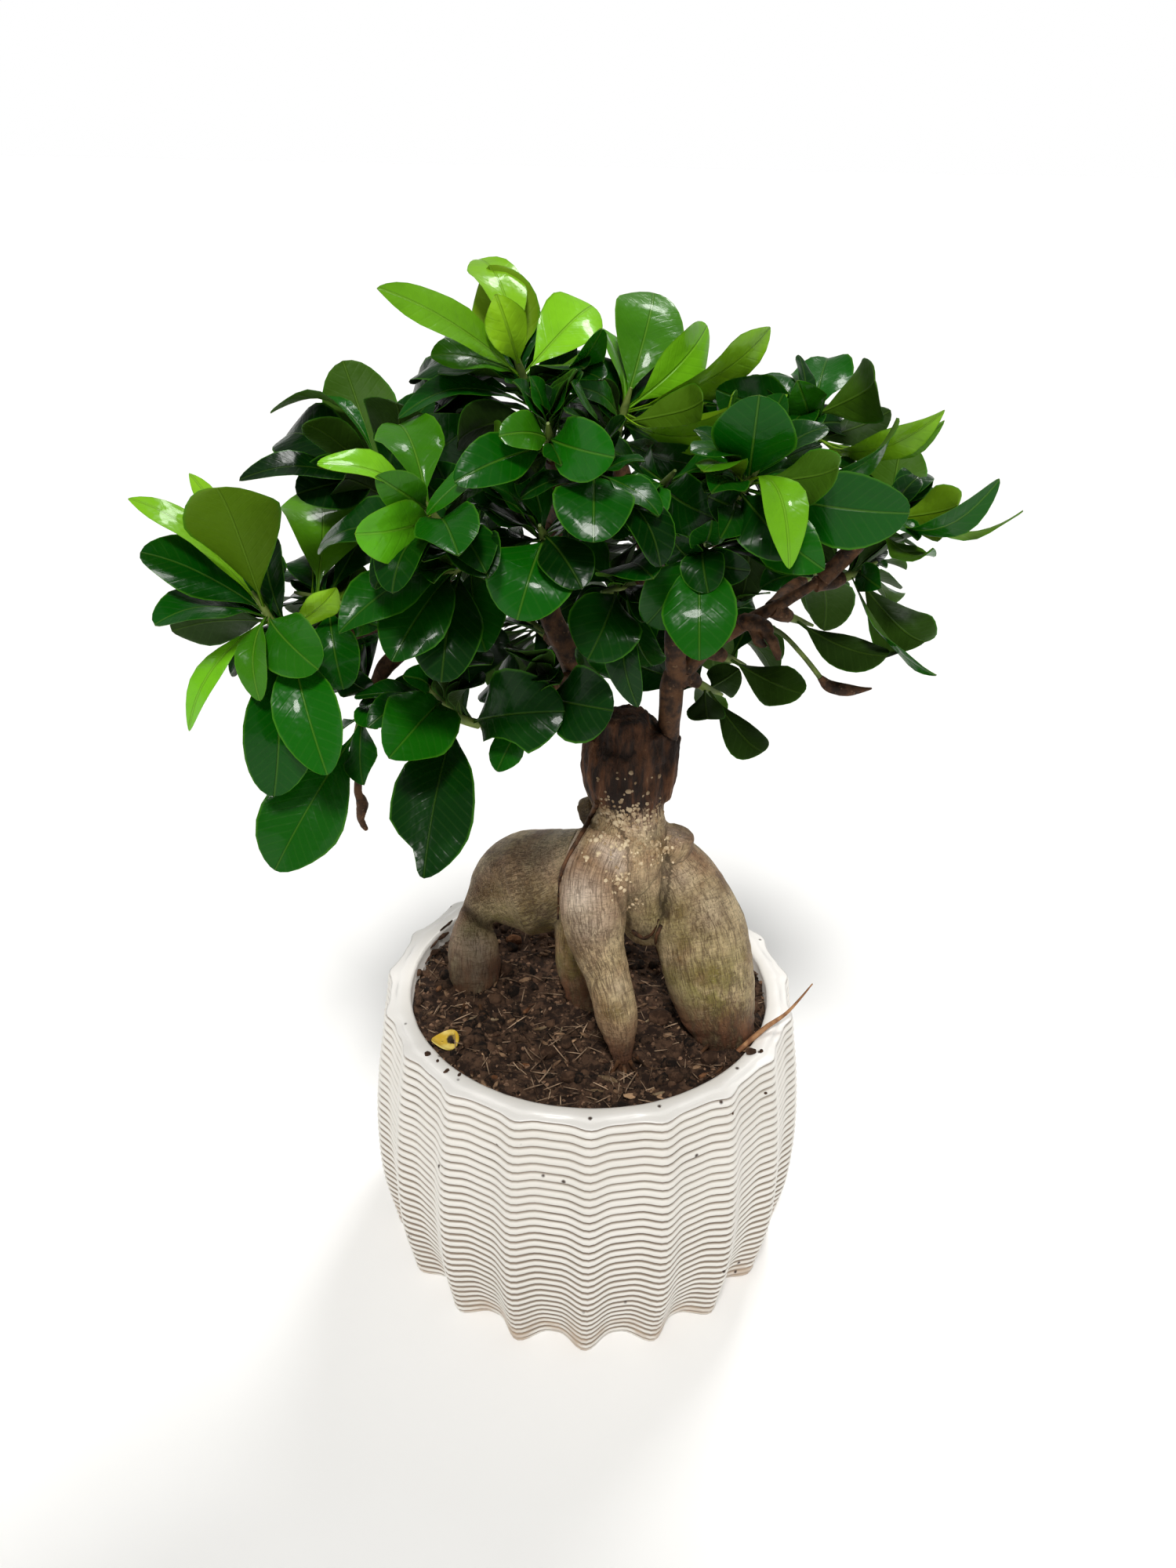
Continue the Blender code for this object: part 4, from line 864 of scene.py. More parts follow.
# Dark marks: dark bark on the knob, the cut top and the roots' tips, and painted shade under the  bulb and
# the stub
DARK_AND_SHADED = [(746, 1042, 6, 0.9), (799, 911, 6, 0.6), (625, 1250, 9, 0.15), (590, 1255, 8, 0.15),
        (735, 985, 4, 0.5), (835, 1062, 4, 0.5), (795, 1350, 7, 0.6), (925, 1340, 8, 0.4),
        (690, 1062, 9, 0.35), (640, 1182, 5, 0.6), (700, 1165, 8, 0.6), (815, 965, 9, 0.4),
        (845, 1110, 3, 0.5), (822, 1192, 4, 0.7)]
SHADE = [(635, 1090, 14, 0.45), (612, 1135, 9, 0.5), (685, 1170, 10, 0.8), (716, 1120, 6, 0.6),
         (745, 1240, 12, 0.7), (740, 1200, 8, 0.6), (930, 1310, 12, 0.8), (860, 1230, 7, 0.5),
         (855, 1150, 4, 0.5), (945, 1260, 6, 0.5), (895, 1195, 14, 0.3), (784, 1292, 7, 0.35),
         (660, 1128, 13, 0.65)]
FLAKY = [(780, 1096, 5.5, 1.0)]
# Bumps of cork: where they crowd, as the marks above
BUMPS = [(800, 1048, 9, 1.0), (775, 1036, 6, 1.0), (830, 1045, 6, 0.9), (810, 1078, 8, 0.9),
         (840, 1085, 6, 1.0), (862, 1070, 4, 0.9), (770, 1075, 6, 0.8), (790, 1120, 6, 0.8),
         (812, 1150, 5, 0.6), (800, 1008, 6, 0.4), (770, 990, 4, 0.25), (835, 985, 4, 0.25),
         (745, 1090, 4, 0.6), (860, 1110, 4, 0.5)]
# Creases: the places of the picture that one runs through, and its depth and half width in mm
CREASES = [
    ([(584, 1150), (600, 1166), (622, 1180), (650, 1188)], 1.6, 1.9),
    ([(852, 1098), (849, 1130), (846, 1170)], 1.8, 2.0),
    ([(785, 1130), (797, 1160), (802, 1195)], 1.2, 1.6),
    ([(722, 1090), (714, 1115), (712, 1160)], 1.2, 1.5),
    ([(760, 1032), (745, 1055), (738, 1066)], 0.8, 1.6),
    ([(740, 1068), (728, 1085), (722, 1102)], -0.8, 1.5),
    ([(782, 940), (786, 975), (792, 1005)], 0.9, 1.0),
    ([(812, 935), (816, 968), (812, 1000)], 0.9, 1.0),
    ([(838, 950), (836, 985), (828, 1015)], 0.9, 1.1),
]


def seen_on(surface, across, down):
    """The place of a surface that the picture shows there, and the way that it faces."""
    return surface.ray_cast(EYE, sight_direction(across, down))[:2]


def mark_weights(places, surface, marks):
    total = np.zeros(len(places))
    for across, down, radius, weight in marks:
        hit = seen_on(surface, across, down)[0]
        if hit:
            distance = np.linalg.norm(places - np.array(hit), axis=1) / (radius * MM)
            total = np.maximum(total, weight * np.exp(-distance ** 2))
    return total


def crease_depth(places, surface):
    """How deep, in mm, the creases press into each place."""
    total = np.zeros(len(places))
    for knots, depth, width in CREASES:
        gap = np.full(len(places), 1.0)
        for start, end in zip(knots, knots[1:]):
            for step in range(9):
                across, down = (a + (b - a) * step / 8 for a, b in zip(start, end))
                hit = seen_on(surface, across, down)[0]
                if hit:
                    gap = np.minimum(gap, np.linalg.norm(places - np.array(hit), axis=1))
        total += depth * np.exp(-(gap / (width * MM)) ** 2)
    return total


def roughen(body):
    """Lumps on the roots, ragged bark on the column, what each point is made of, and painted light and
    shade.
    """
    mesh = body.data
    count = len(mesh.vertices)
    places = np.empty(count * 3)
    mesh.vertices.foreach_get("co", places)
    places = places.reshape(-1, 3)
    normals = np.empty(count * 3)
    mesh.vertices.foreach_get("normal", normals)
    normals = normals.reshape(-1, 3)
    surface = surface_of(body)
    grain = nearest_stations(places)
    neck = seen_at(*NECK).z
    old = np.clip((places[:, 2] - neck + 0.008) / 0.02, 0, 1)
    near_soil = np.clip((SOIL_LEVEL + 0.023 - places[:, 2]) / 0.016, 0, 1)
    lumps = np.array([noise.noise(Vector(place) * 110) for place in places])
    folds = np.array([noise.noise(Vector((row[0] * 60, row[1] * 60, row[2] * 420))) for row in grain])
    flakes = np.array([noise.fractal(Vector((p[0] * 300, p[1] * 300, p[2] * 85)), 0.6, 2.1, 3)
                       for p in places])
    scales = np.array([noise.noise(Vector((row[0] * 200, row[1] * 200, row[2] * 500))) for row in grain])
    creases = crease_depth(places, surface)
    flaky = mark_weights(places, surface, FLAKY)
    rise = (LUMP_RISE * lumps * (1 - old) + FOLD_RISE * folds * (1 - old) + FLAKY_RISE * flaky * flakes
            + FLAKE_RISE * flakes * old + SCALE_RISE * scales * near_soil - creases) * MM
    mesh.vertices.foreach_set("co", (places + normals * rise[:, None]).ravel())
    mesh.update()
    # Painted shade: the creases are darkened in colour as well as pressed in.
    dark = np.maximum(mark_weights(places, surface, DARK_AND_SHADED), np.clip(creases / 2.2, 0, 0.75))
    give(body, grain=grain, old=old, near_soil=near_soil, dark=dark,
         moss=mark_weights(places, surface, MOSS), pale=mark_weights(places, surface, PALE_AND_HIGHLIT),
         shade=mark_weights(places, surface, SHADE), bumps=mark_weights(places, surface, BUMPS))
    return surface_of(body)


def bark_material():
    """Grey-brown skin on the roots, streaked along each limb, dark flaking bark above, painted highlights
    and shade.
    """
    bark, start, finish = new_material("living bark", specular=0.35)
    place = start.object_place()
    grain = start.attribute("grain", "Vector")
    old = start.attribute("old")
    # Painted light: the pale marks hold back the dark soil stain on the shaded leg.
    near_soil = start.attribute("near_soil") * (1.0 - start.attribute("pale") * 0.7)
    rings = grain.vector("MULTIPLY", (170.0, 170.0, 900.0)).grain(1.0, 5.0, 0.65, 1.6)
    fine_rings = grain.vector("MULTIPLY", (380.0, 380.0, 2300.0)).grain(1.0, 4.0, 0.65, 1.2)
    streaks = grain.vector("MULTIPLY", (1250.0, 1250.0, 180.0)).grain(1.0, 5.0, 0.65, 1.2)
    cloud = place.grain(70.0, 5.0, 0.65)
    blotch = place.grain(30.0, 4.0, 0.55)
    skin = cloud.between(0.36, 0.64).paint((0.3, 0.188, 0.072), (0.84, 0.65, 0.36))
    skin = (blotch.between(0.46, 0.6) * 0.55).paint(skin, (0.43, 0.21, 0.115))
    # Painted highlights: the pale marks lighten the skin, as well as pale patches of bark.
    skin = (start.attribute("pale") * 0.9).paint(skin, (0.9, 0.73, 0.58))
    green = start.attribute("moss") * place.grain(130.0, 4.0).between(0.3, 0.62)
    skin = (green * 0.85).paint(skin, (0.24, 0.225, 0.03))
    shade = start.attribute("shade")
    skin = (shade * 0.25).paint(skin, (0.1, 0.054, 0.022))
    skin = (rings.between(0.44, 0.66) * 0.38).paint(skin, (0.095, 0.048, 0.02))
    streaked = (streaks + shade * 0.1).between(0.48, 0.62)
    skin = (streaked * (0.56 + shade * 0.3)).paint(skin, (0.085, 0.046, 0.02))
    skin = (fine_rings.between(0.54, 0.7) * 0.3).paint(skin, (0.86, 0.69, 0.45))
    upright = place.node("ShaderNodeMapping", None, {0: place, "Scale": (1.0, 1.0, 0.25)})
    rust = upright.grain(210.0, 5.0, 0.65)
    ragged = rust.between(0.38, 0.66).paint((0.014, 0.006, 0.003), (0.125, 0.048, 0.018))
    ragged = rust.between(0.61, 0.7).paint(ragged, (0.27, 0.16, 0.085))
    aged = (old + (streaks - 0.5) * 1.1).between(0.3, 0.7)
    colour = aged.paint(skin, ragged)
    scaly = rust.between(0.35, 0.65).paint((0.032, 0.013, 0.006), (0.23, 0.095, 0.042))
    colour = (near_soil * (rust.between(0.3, 0.55) * 0.55 + 0.45)).paint(colour, scaly)
    # Dark bark and painted shade, from the dark marks and the creases.
    colour = (start.attribute("dark") * 0.8).paint(colour, (0.022, 0.013, 0.009))
    height = ((rings * 0.35 + fine_rings * 0.2 + streaks * 0.7) * (1.0 - old)
              + rust * (old + near_soil * 0.5) * 1.6)
    finish(Base_Color=colour, Roughness=0.44 + cloud * 0.15 + old * 0.35,
           Normal=height.bump(1.0, 2.0 * MM))
    return bark


def cork_tree():
    """Small flat bumps on a skin, crowded where its "bumps" attribute is high."""
    tree, start, size = new_tree("bumps of cork", {
        "Density": "Float", "Radius": "Float", "Flatness": "Float", "Seed": "Int", "Material": "Material"})
    crowd = start.named("bumps")
    spread = start.node("GeometryNodeDistributePointsOnFaces", None, {
        "Mesh": start, "Selection": crowd.maths("GREATER_THAN", 0.12),
        "Density": crowd * crowd * size["Density"], "Seed": size["Seed"]}, "Points")
    ball = start.node("GeometryNodeMeshUVSphere", None, {"Segments": 8, "Rings": 6, "Radius": 1.0}, "Mesh")
    grow = start.node("FunctionNodeRandomValue", {"data_type": "FLOAT"}, {
        2: 0.0, 3: 1.0, "Seed": size["Seed"]}, 1)
    radius = size["Radius"] * (0.38 + grow * grow * 0.62)
    flat = start.joined(radius, radius, radius * size["Flatness"])
    placed = start.node("GeometryNodeInstanceOnPoints", None, {
        "Points": spread, "Instance": ball, "Rotation": spread.other("Rotation"), "Scale": flat})
    real = placed.made_real()
    jag = start.node("GeometryNodeInputPosition").jitter(700.0, 1.0, 0.9 * MM)
    shaped = start.node("GeometryNodeSetPosition", None, {"Geometry": real, "Offset": jag})
    end_tree(shaped, size["Material"])
    return tree


def cork_material():
    cork, start, finish = new_material("pale cork", roughness=0.7, specular=0.3)
    place = start.object_place()
    cloud = place.grain(260.0, 4.0)
    colour = cloud.between(0.35, 0.65).paint((0.34, 0.23, 0.12), (0.76, 0.62, 0.41))
    finish(Base_Color=(start.attribute("old") * 0.62).paint(colour, (0.13, 0.072, 0.036)),
           Roughness=0.6 + cloud * 0.2)
    return cork


BARK = bark_material()
trunk = melted_limbs()
TRUNK_SURFACE = roughen(trunk)
trunk.data.materials.clear()
trunk.data.materials.append(BARK)
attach(trunk, "root")
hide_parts("trunk_and_roots")
cork = bpy.data.objects.new("cork_bumps", trunk.data.copy())
show(cork)
run_tree(cork, cork_tree(), {"Density": 800000.0, "Radius": 0.95 * MM, "Flatness": 0.6, "Seed": 4,
                             "Material": cork_material()})
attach(cork, "root")

# The woody branches.
# Thin brown branches that fork from the column's shoulder and from its left side, with the
# twigs that carry the leafy shoots, and a bud on its stalk with the dry sheath behind it.
BRANCHES = {
    "left": [(772, 950, 4, 6.0), (750, 893, 1, 4.4), (727, 838, -2, 3.9), (700, 778, -4, 3.6),
             (699, 720, -5, 3.2), (708, 660, -5, 2.9), (717, 596, -3, 2.4)],
    "right": [(848, 985, 0, 4.0), (853, 930, 0, 3.6), (858, 872, 0, 4.0), (868, 852, 0, 3.8)],
    "right_arm": [(860, 870, 0, 3.2), (900, 828, 2, 2.7), (945, 798, 4, 2.4),
                  (1000, 768, 5, 1.8), (1056, 734, 5, 1.5)],
    "inner_arm": [(865, 872, 0, 3.6), (860, 812, -4, 3.1), (866, 752, -8, 2.8), (892, 690, -15, 2.3)],
}
BUD_STALK = [(958, 793, 4, 0.9), (994, 806, 4, 0.8), (1024, 836, 0, 0.8), (1046, 864, -2, 0.9)]
BUD = [(1046, 864, -2, 1.0), (1058, 875, -2, 2.0), (1078, 880, -3, 2.1), (1096, 880, -3, 1.2),
       (1112, 878, -4, 0.3)]
SHEATH = [(944, 792, 3, 1.6), (956, 794, 0, 2.9), (974, 800, -2, 2.6), (980, 812, -4, 1.7),
          (988, 826, -5, 1.5), (992, 842, -6, 0.7)]
SHEATH_FLAP = [(960, 800, -1, 1.8), (968, 816, -3, 1.9), (978, 826, -4, 0.7)]
DEAD_SCRAP = [(456, 935, -12, 0.8), (459, 975, -13, 0.7), (456, 1005, -13, 1.2),
              (462, 1026, -13, 2.0), (460, 1044, -13, 1.3), (467, 1058, -13, 0.4)]
TWIG_RADIUS = 0.0027
SEAT_RADIUS = 0.002
STEM_RADIUS = 0.0015
STEM_TIP_LENGTH = 0.006
GAP = 0.3 * MM

USUAL_FRESHNESS_AND_LIGHT = 0.12
Leaf = namedtuple("Leaf", "along across down length toward width turn arch fresh",
                  defaults=(USUAL_FRESHNESS_AND_LIGHT,))
Shoot = namedtuple("Shoot", "twig stem more spread leaves")


def leaves(*rows):
    return [Leaf(*row) for row in rows]


# A shoot: the knots of its woody twig and of its green stem, how many leaves grow by rule, how
# far those may spread in the picture, and the leaves that the picture shows. A leaf: how far along
# its stem it grows, where its tip is seen, its length in mm, +1 if the tip points at the viewer and
# -1 if away, its width in mm, how far its upper face is turned from the viewer, its arch, and its
# tone from its age and from painted light and shade, from 0 for dark green in shade to 1 for lit
# yellow-green.
SHOOTS = {
    "shoot_far_left": Shoot(
        [(700, 775, -4), (640, 748, -6), (560, 768, -9), (480, 795, -12), (420, 815, -14)],
        [(388, 813, -16), (350, 797, -18), (336, 776, -18)], 3, 120, leaves(
            (0.95, 276, 607, 49, 1, 27, 170, 0.02, 0.62), (0.8, 182, 700, 39, 1, 22, 45, 0.06, 0.35),
            (0.9, 178, 622, 42, -1, 13, 60, 0.05, 0.8), (0.88, 243, 590, 54, -1, 8, 20, 0.02, 0.8),
            (0.7, 200, 783, 36, 1, 20, 55, 0.08, 0.5), (0.6, 222, 800, 34, -1, 20, 140, 0.06),
            (0.65, 237, 930, 38, 1, 8, 30, 0.22, 0.88), (0.8, 324, 886, 28, 1, 11, 60, 0.15, 0.62),
            (0.5, 352, 1016, 50, 1, 22, -12, 0.1, 0.38), (0.25, 416, 987, 44, 1, 20, 10, 0.1, 0.5),
            (0.35, 430, 757, 22, 1, 11, 40, 0.05, 1.0), (0.75, 402, 852, 28, 1, 19, 0, 0.14, 0.56))),
    "shoot_far_left_inner": Shoot(
        [(520, 781, -11), (480, 783, -10)], [(455, 778, -9), (425, 770, -7), (398, 762, -5)],
        2, 90, leaves(
            (0.4, 452, 722, 28, -1, 14, 150, 0.02, 0.6), (0.9, 410, 628, 42, -1, 27, 10, 0.15, 0.62),
            (1.0, 388, 661, 32, -1, 8, 70, 0.05, 0.72), (0.6, 436, 876, 30, 1, 16, -20, 0.15, 0.3))),
    "shoot_left_hanging": Shoot(
        [(560, 768, -9), (520, 822, -6), (492, 850, -6)],
        [(478, 875, -8), (465, 905, -10), (456, 935, -12)], 1, 90, leaves(
            (0.9, 350, 1110, 50, 1, 27, 10, 0.1, 0.2), (0.55, 461, 1000, 26, 1, 12, 40, 0.05, 0.08),
            (0.3, 476, 922, 20, 1, 11, 20, 0.05, 0.3))),
    "shoot_left_low": Shoot(
        [(745, 878, 0), (690, 893, -6), (640, 914, -12)],
        [(612, 924, -15), (585, 915, -18), (565, 897, -20), (546, 878, -21)], 1, 90, leaves(
            (0.7, 497, 966, 36, 1, 24, 5, 0.15, 0.25), (0.35, 540, 1120, 54, 1, 28, 20, 0.08, 0.0),
            (1.0, 520, 862, 18, 1, 9, 10, 0.1, 0.45), (0.9, 474, 918, 26, 1, 11, 30, 0.05, 0.38),
            (0.1, 706, 906, 32, 1, 27, -10, 0.12))),
    "shoot_low_middle": Shoot(
        [(735, 862, -1), (716, 872, -10)], [(702, 880, -16), (690, 890, -22), (680, 897, -26)],
        1, 110, leaves(
            (0.5, 774, 905, 28, 1, 23, 0, 0.05, 0.08), (0.8, 622, 862, 28, -1, 18, 10, 0.1, 0.3))),
    "shoot_left_middle": Shoot(
        [(640, 748, -6), (622, 735, -16)], [(608, 725, -24), (592, 722, -30), (575, 730, -34)],
        2, 90, leaves(
            (0.3, 432, 806, 46, 1, 17, 40, 0.15, 0.18), (0.8, 500, 842, 36, 1, 20, 20, 0.1),
            (0.6, 562, 866, 36, 1, 20, 10, 0.1), (0.2, 616, 826, 30, 1, 18, 15, 0.1))),
    "shoot_left_front": Shoot(
        [(699, 712, -5), (655, 702, -20), (624, 704, -31)],
        [(598, 696, -38), (566, 675, -44), (542, 645, -47)], 1, 90, leaves(
            (0.95, 405, 591, 34, 1, 12, 60, 0.12, 0.9), (0.9, 508, 540, 32, -1, 19, 15, 0.2, 0.55),
            (0.8, 458, 683, 29, 1, 17, -25, 0.1, 0.88), (0.9, 487, 612, 24, 1, 11, 30, 0.1, 0.6),
            (0.6, 598, 658, 20, 1, 8, 50, 0.05, 0.55), (0.85, 636, 540, 36, -1, 15, 75, 0.12, 0.45),
            (0.5, 402, 690, 42, 1, 20, 50, 0.08, 0.15))),
    "shoot_left_upper": Shoot(
        [(580, 762, -8), (560, 715, 0), (536, 682, 4)], [(515, 658, 6), (497, 632, 6), (484, 607, 6)],
        2, 110, leaves(
            (0.9, 440, 466, 42, -1, 24, 175, 0.05, 0.4), (0.95, 350, 512, 44, -1, 11, 70, 0.25, 0.35),
            (0.7, 388, 531, 36, 1, 13, 150, 0.05, 0.28), (0.6, 512, 503, 36, 1, 24, 165, 0.08, 0.15),
            (0.5, 312, 595, 50, 1, 13, 65, 0.08, 0.08), (0.4, 432, 606, 28, 1, 16, 150, 0.05))),
    "shoot_top_left": Shoot(
        [(708, 640, -5), (716, 600, -3)], [(706, 562, 0), (690, 530, -2), (673, 500, -4), (663, 470, -6)],
        2, 90, leaves(
            (1.0, 612, 322, 42, -1, 16, 25, 0.15, 0.78), (0.93, 630, 348, 33, -1, 20, 170, 0.05, 0.7),
            (1.0, 634, 378, 24, 1, 12, 10, 0.05, 0.95), (0.88, 758, 385, 36, -1, 18, -15, 0.08, 0.95),
            (0.85, 487, 363, 51, 1, 14, 30, 0.05, 0.72), (0.9, 554, 447, 31, 1, 14, 50, 0.05, 0.6),
            (0.72, 769, 424, 35, 1, 15, 70, 0.1, 0.55), (0.6, 540, 488, 34, -1, 12, 60, 0.05, 0.35),
            (0.4, 512, 512, 42, 1, 13, 65, 0.12, 0.32), (0.3, 580, 560, 36, 1, 15, 150, 0.1))),
    "shoot_top_right": Shoot(
        [(862, 800, -4), (838, 735, 0), (812, 665, 3), (796, 612, 5)],
        [(788, 582, 5), (787, 552, 5), (797, 520, 4)], 1, 110, leaves(
            (0.9, 838, 363, 43, -1, 22, 5, 0.1, 0.62), (0.95, 768, 418, 30, -1, 14, 70, 0.1, 0.78),
            (0.9, 986, 421, 50, -1, 17, 45, 0.1, 0.8), (0.95, 905, 416, 36, -1, 16, 30, 0.1, 0.88),
            (0.9, 940, 515, 38, 1, 20, 150, 0.28, 0.72), (0.85, 997, 520, 47, 1, 13, 40, 0.2, 0.82),
            (0.8, 752, 484, 18, 1, 10, 150, 0.05), (0.6, 728, 486, 26, 1, 9, 70, 0.12, 0.4),
            (0.7, 905, 515, 31, 1, 16, 160, 0.05, 0.6), (0.4, 905, 598, 34, 1, 17, 35, 0.05, 0.25))),
    "shoot_right_front": Shoot(
        [(866, 750, -8), (885, 700, -14), (912, 662, -23)],
        [(930, 642, -29), (945, 626, -33), (957, 610, -36)], 1, 90, leaves(
            (0.9, 968, 508, 29, -1, 22, 0, 0.06, 0.55), (0.7, 900, 591, 24, 1, 13, 110, 0.1, 0.62),
            (0.95, 1152, 548, 45, -1, 15, 65, 0.15, 0.6), (0.9, 1008, 722, 32, 1, 12, -30, 0.34, 0.76),
            (0.8, 1078, 600, 31, 1, 15, 160, 0.05, 0.45), (0.45, 1003, 700, 27, 1, 17, 0, 0.1, 0.15),
            (0.2, 1042, 722, 34, 1, 16, 20, 0.1, 0.25), (0.6, 1160, 656, 48, 1, 21, 20, 0.08, 0.5))),
    "shoot_right_upper": Shoot(
        [(892, 690, -15), (950, 655, 0), (1008, 608, 10)],
        [(1030, 580, 13), (1036, 552, 14), (1031, 527, 14)], 1, 100, leaves(
            (0.9, 1127, 484, 31, 1, 19, 165, 0.1, 0.5), (0.6, 1018, 488, 24, 1, 13, 10, 0.1, 0.5),
            (0.5, 1202, 532, 44, 1, 12, 50, 0.2, 0.72), (0.4, 1199, 556, 44, 1, 12, 60, 0.1, 0.62),
            (0.95, 1021, 451, 22, -1, 8, 50, 0.02), (0.3, 1135, 528, 26, -1, 13, 150, 0.05))),
    "shoot_right_end": Shoot(
        [(1050, 738, 5), (1078, 710, 4)], [(1100, 690, 2), (1120, 671, 0), (1135, 655, -2)], 1, 90, leaves(
            (0.9, 1150, 563, 26, -1, 18, 170, 0.05, 0.45), (0.85, 1271, 630, 37, 1, 11, 55, 0.2, 0.6),
            (0.8, 1226, 646, 28, 1, 17, 150, 0.08, 0.62), (0.9, 1303, 668, 43, 1, 10, 65, 0.1, 0.58),
            (0.5, 1189, 712, 24, 1, 11, 130, 0.15, 0.35))),
    "shoot_right_low": Shoot(
        [(1040, 745, 5), (1062, 741, 7)], [(1076, 737, 8), (1088, 732, 9), (1098, 727, 10)], 1, 80, leaves(
            (0.6, 1180, 822, 37, 1, 20, 165, 0.2, 0.15), (0.35, 1184, 868, 47, 1, 9, 110, 0.05, 0.3),
            (0.9, 1118, 747, 16, 1, 10, 10, 0.1))),
    "leaf_right_arm_outer": Shoot(
        [(985, 777, 5), (998, 783, 6)], [(1007, 787, 7), (1018, 791, 8)], 0, 80, leaves(
            (0.5, 1131, 838, 36, 1, 15, 160, 0.12, 0.15))),
    "leaf_right_arm_inner": Shoot(
        [(900, 828, 2), (914, 833, 3)], [(923, 837, 4), (933, 841, 5)], 0, 80, leaves(
            (0.5, 1025, 888, 31, 1, 15, 165, 0.08))),
    "shoot_near_trunk": Shoot(
        [(868, 858, 0), (882, 866, 2)], [(890, 871, 3), (898, 876, 4), (905, 879, 5)], 1, 60, leaves(
            (0.9, 938, 858, 18, -1, 13, 170, 0.05), (0.55, 902, 920, 16, 1, 13, 175, 0.05),
            (0.8, 974, 968, 33, 1, 13, 165, 0.1), (0.3, 838, 894, 18, 1, 10, 20, 0.1))),
    "shoot_centre_right": Shoot(
        [(866, 750, -8), (880, 724, -18)], [(887, 712, -24), (892, 700, -28), (896, 690, -30)],
        1, 90, leaves(
            (0.5, 892, 833, 34, 1, 21, 0, 0.1, 0.25), (0.9, 902, 752, 18, 1, 13, 10, 0.1),
            (0.7, 828, 796, 30, 1, 18, -15, 0.1))),
    "shoot_centre": Shoot(
        [(838, 735, 0), (820, 742, -10)], [(808, 747, -16), (795, 750, -20), (784, 752, -23)],
        2, 90, leaves(
            (0.9, 756, 832, 28, 1, 21, -10, 0.1), (0.6, 722, 702, 24, -1, 18, 10, 0.05),
            (0.3, 804, 897, 36, 1, 12, 30, 0.1))),
    "shoot_centre_left": Shoot(
        [(699, 722, -5), (698, 706, -24)], [(697, 697, -32), (695, 688, -37), (692, 680, -41)],
        2, 120, leaves(
            (0.6, 662, 779, 28, 1, 24, 5, 0.15, 0.48), (0.9, 742, 748, 24, 1, 15, -20, 0.1))),
    "shoot_middle_front": Shoot(
        [(706, 660, -5), (732, 632, -24)], [(745, 620, -33), (756, 608, -38), (764, 598, -41)],
        2, 120, leaves(
            (0.6, 757, 691, 26, 1, 21, 0, 0.15, 0.32), (0.4, 664, 634, 22, 1, 9, 60, 0.1))),
    "shoot_upper_front": Shoot(
        [(716, 600, -3), (708, 592, -22)], [(704, 583, -32), (701, 570, -37), (700, 556, -41)],
        1, 120, leaves(
            (0.9, 776, 583, 25, 1, 16, 10, 0.1, 0.48), (0.8, 642, 553, 18, 1, 11, 30, 0.12, 0.62),
            (0.5, 582, 612, 31, 1, 14, 20, 0.1, 0.4), (0.35, 543, 652, 39, 1, 12, 60, 0.1, 0.55))),
    "shoot_right_inner": Shoot(
        [(812, 665, 3), (824, 645, -10)], [(832, 635, -17), (842, 624, -22), (850, 614, -25)],
        3, 90, leaves(
            (0.7, 908, 660, 24, 1, 17, 20, 0.1), (0.9, 812, 590, 20, -1, 14, 0, 0.1))),
    "shoot_back_left": Shoot(
        [(699, 720, -5), (655, 702, 20)],
        [(630, 692, 32), (606, 678, 40), (590, 660, 44)], 7, 130, leaves()),
    "shoot_back_left_low": Shoot(
        [(728, 842, -2), (712, 822, 16)],
        [(700, 812, 26), (684, 800, 35), (668, 785, 41)], 6, 105, leaves()),
    "shoot_back_middle": Shoot(
        [(708, 660, -5), (722, 640, 22)],
        [(730, 628, 34), (736, 612, 44), (738, 594, 50)], 7, 120, leaves()),
    "shoot_back_centre": Shoot(
        [(866, 756, -8), (840, 728, 22)],
        [(832, 716, 34), (826, 700, 46), (822, 682, 54)], 8, 130, leaves()),
    "shoot_back_right": Shoot(
        [(892, 690, -15), (935, 680, 18)], [(952, 674, 30), (972, 664, 40), (988, 648, 46)],
        6, 125, leaves()),
    "shoot_back_right_arm": Shoot(
        [(985, 777, 5), (1010, 752, 22)], [(1024, 742, 32), (1040, 728, 40), (1052, 712, 45)],
        4, 105, leaves()),
    "shoot_back_fork": Shoot(
        [(868, 852, 0), (884, 826, 18)],
        [(892, 815, 28), (902, 800, 38), (908, 784, 44)], 5, 105, leaves()),
}


def shoot_routes(shoot):
    """The stations of a shoot's woody twig and of its green stem, which meet at the seat."""
    knots = [seen_at(*knot) for knot in shoot.twig + shoot.stem]
    radii = [TWIG_RADIUS] * len(shoot.twig) + [SEAT_RADIUS] + [STEM_RADIUS] * (len(shoot.stem) - 1)
    route = smooth_route(knots, radii, 1)
    seat = len(shoot.twig)
    woody = route[:seat + 1]
    green = route[seat:]
    centre, tangent, _ = woody[-1]
    green[0] = (centre + tangent * GAP, tangent, STEM_RADIUS)
    tip, tangent, _ = green[-1]
    green[-1] = (tip, tangent, STEM_RADIUS * 0.8)
    green.append((tip + tangent * STEM_TIP_LENGTH, tangent, STEM_RADIUS * 0.3))
    return woody, green


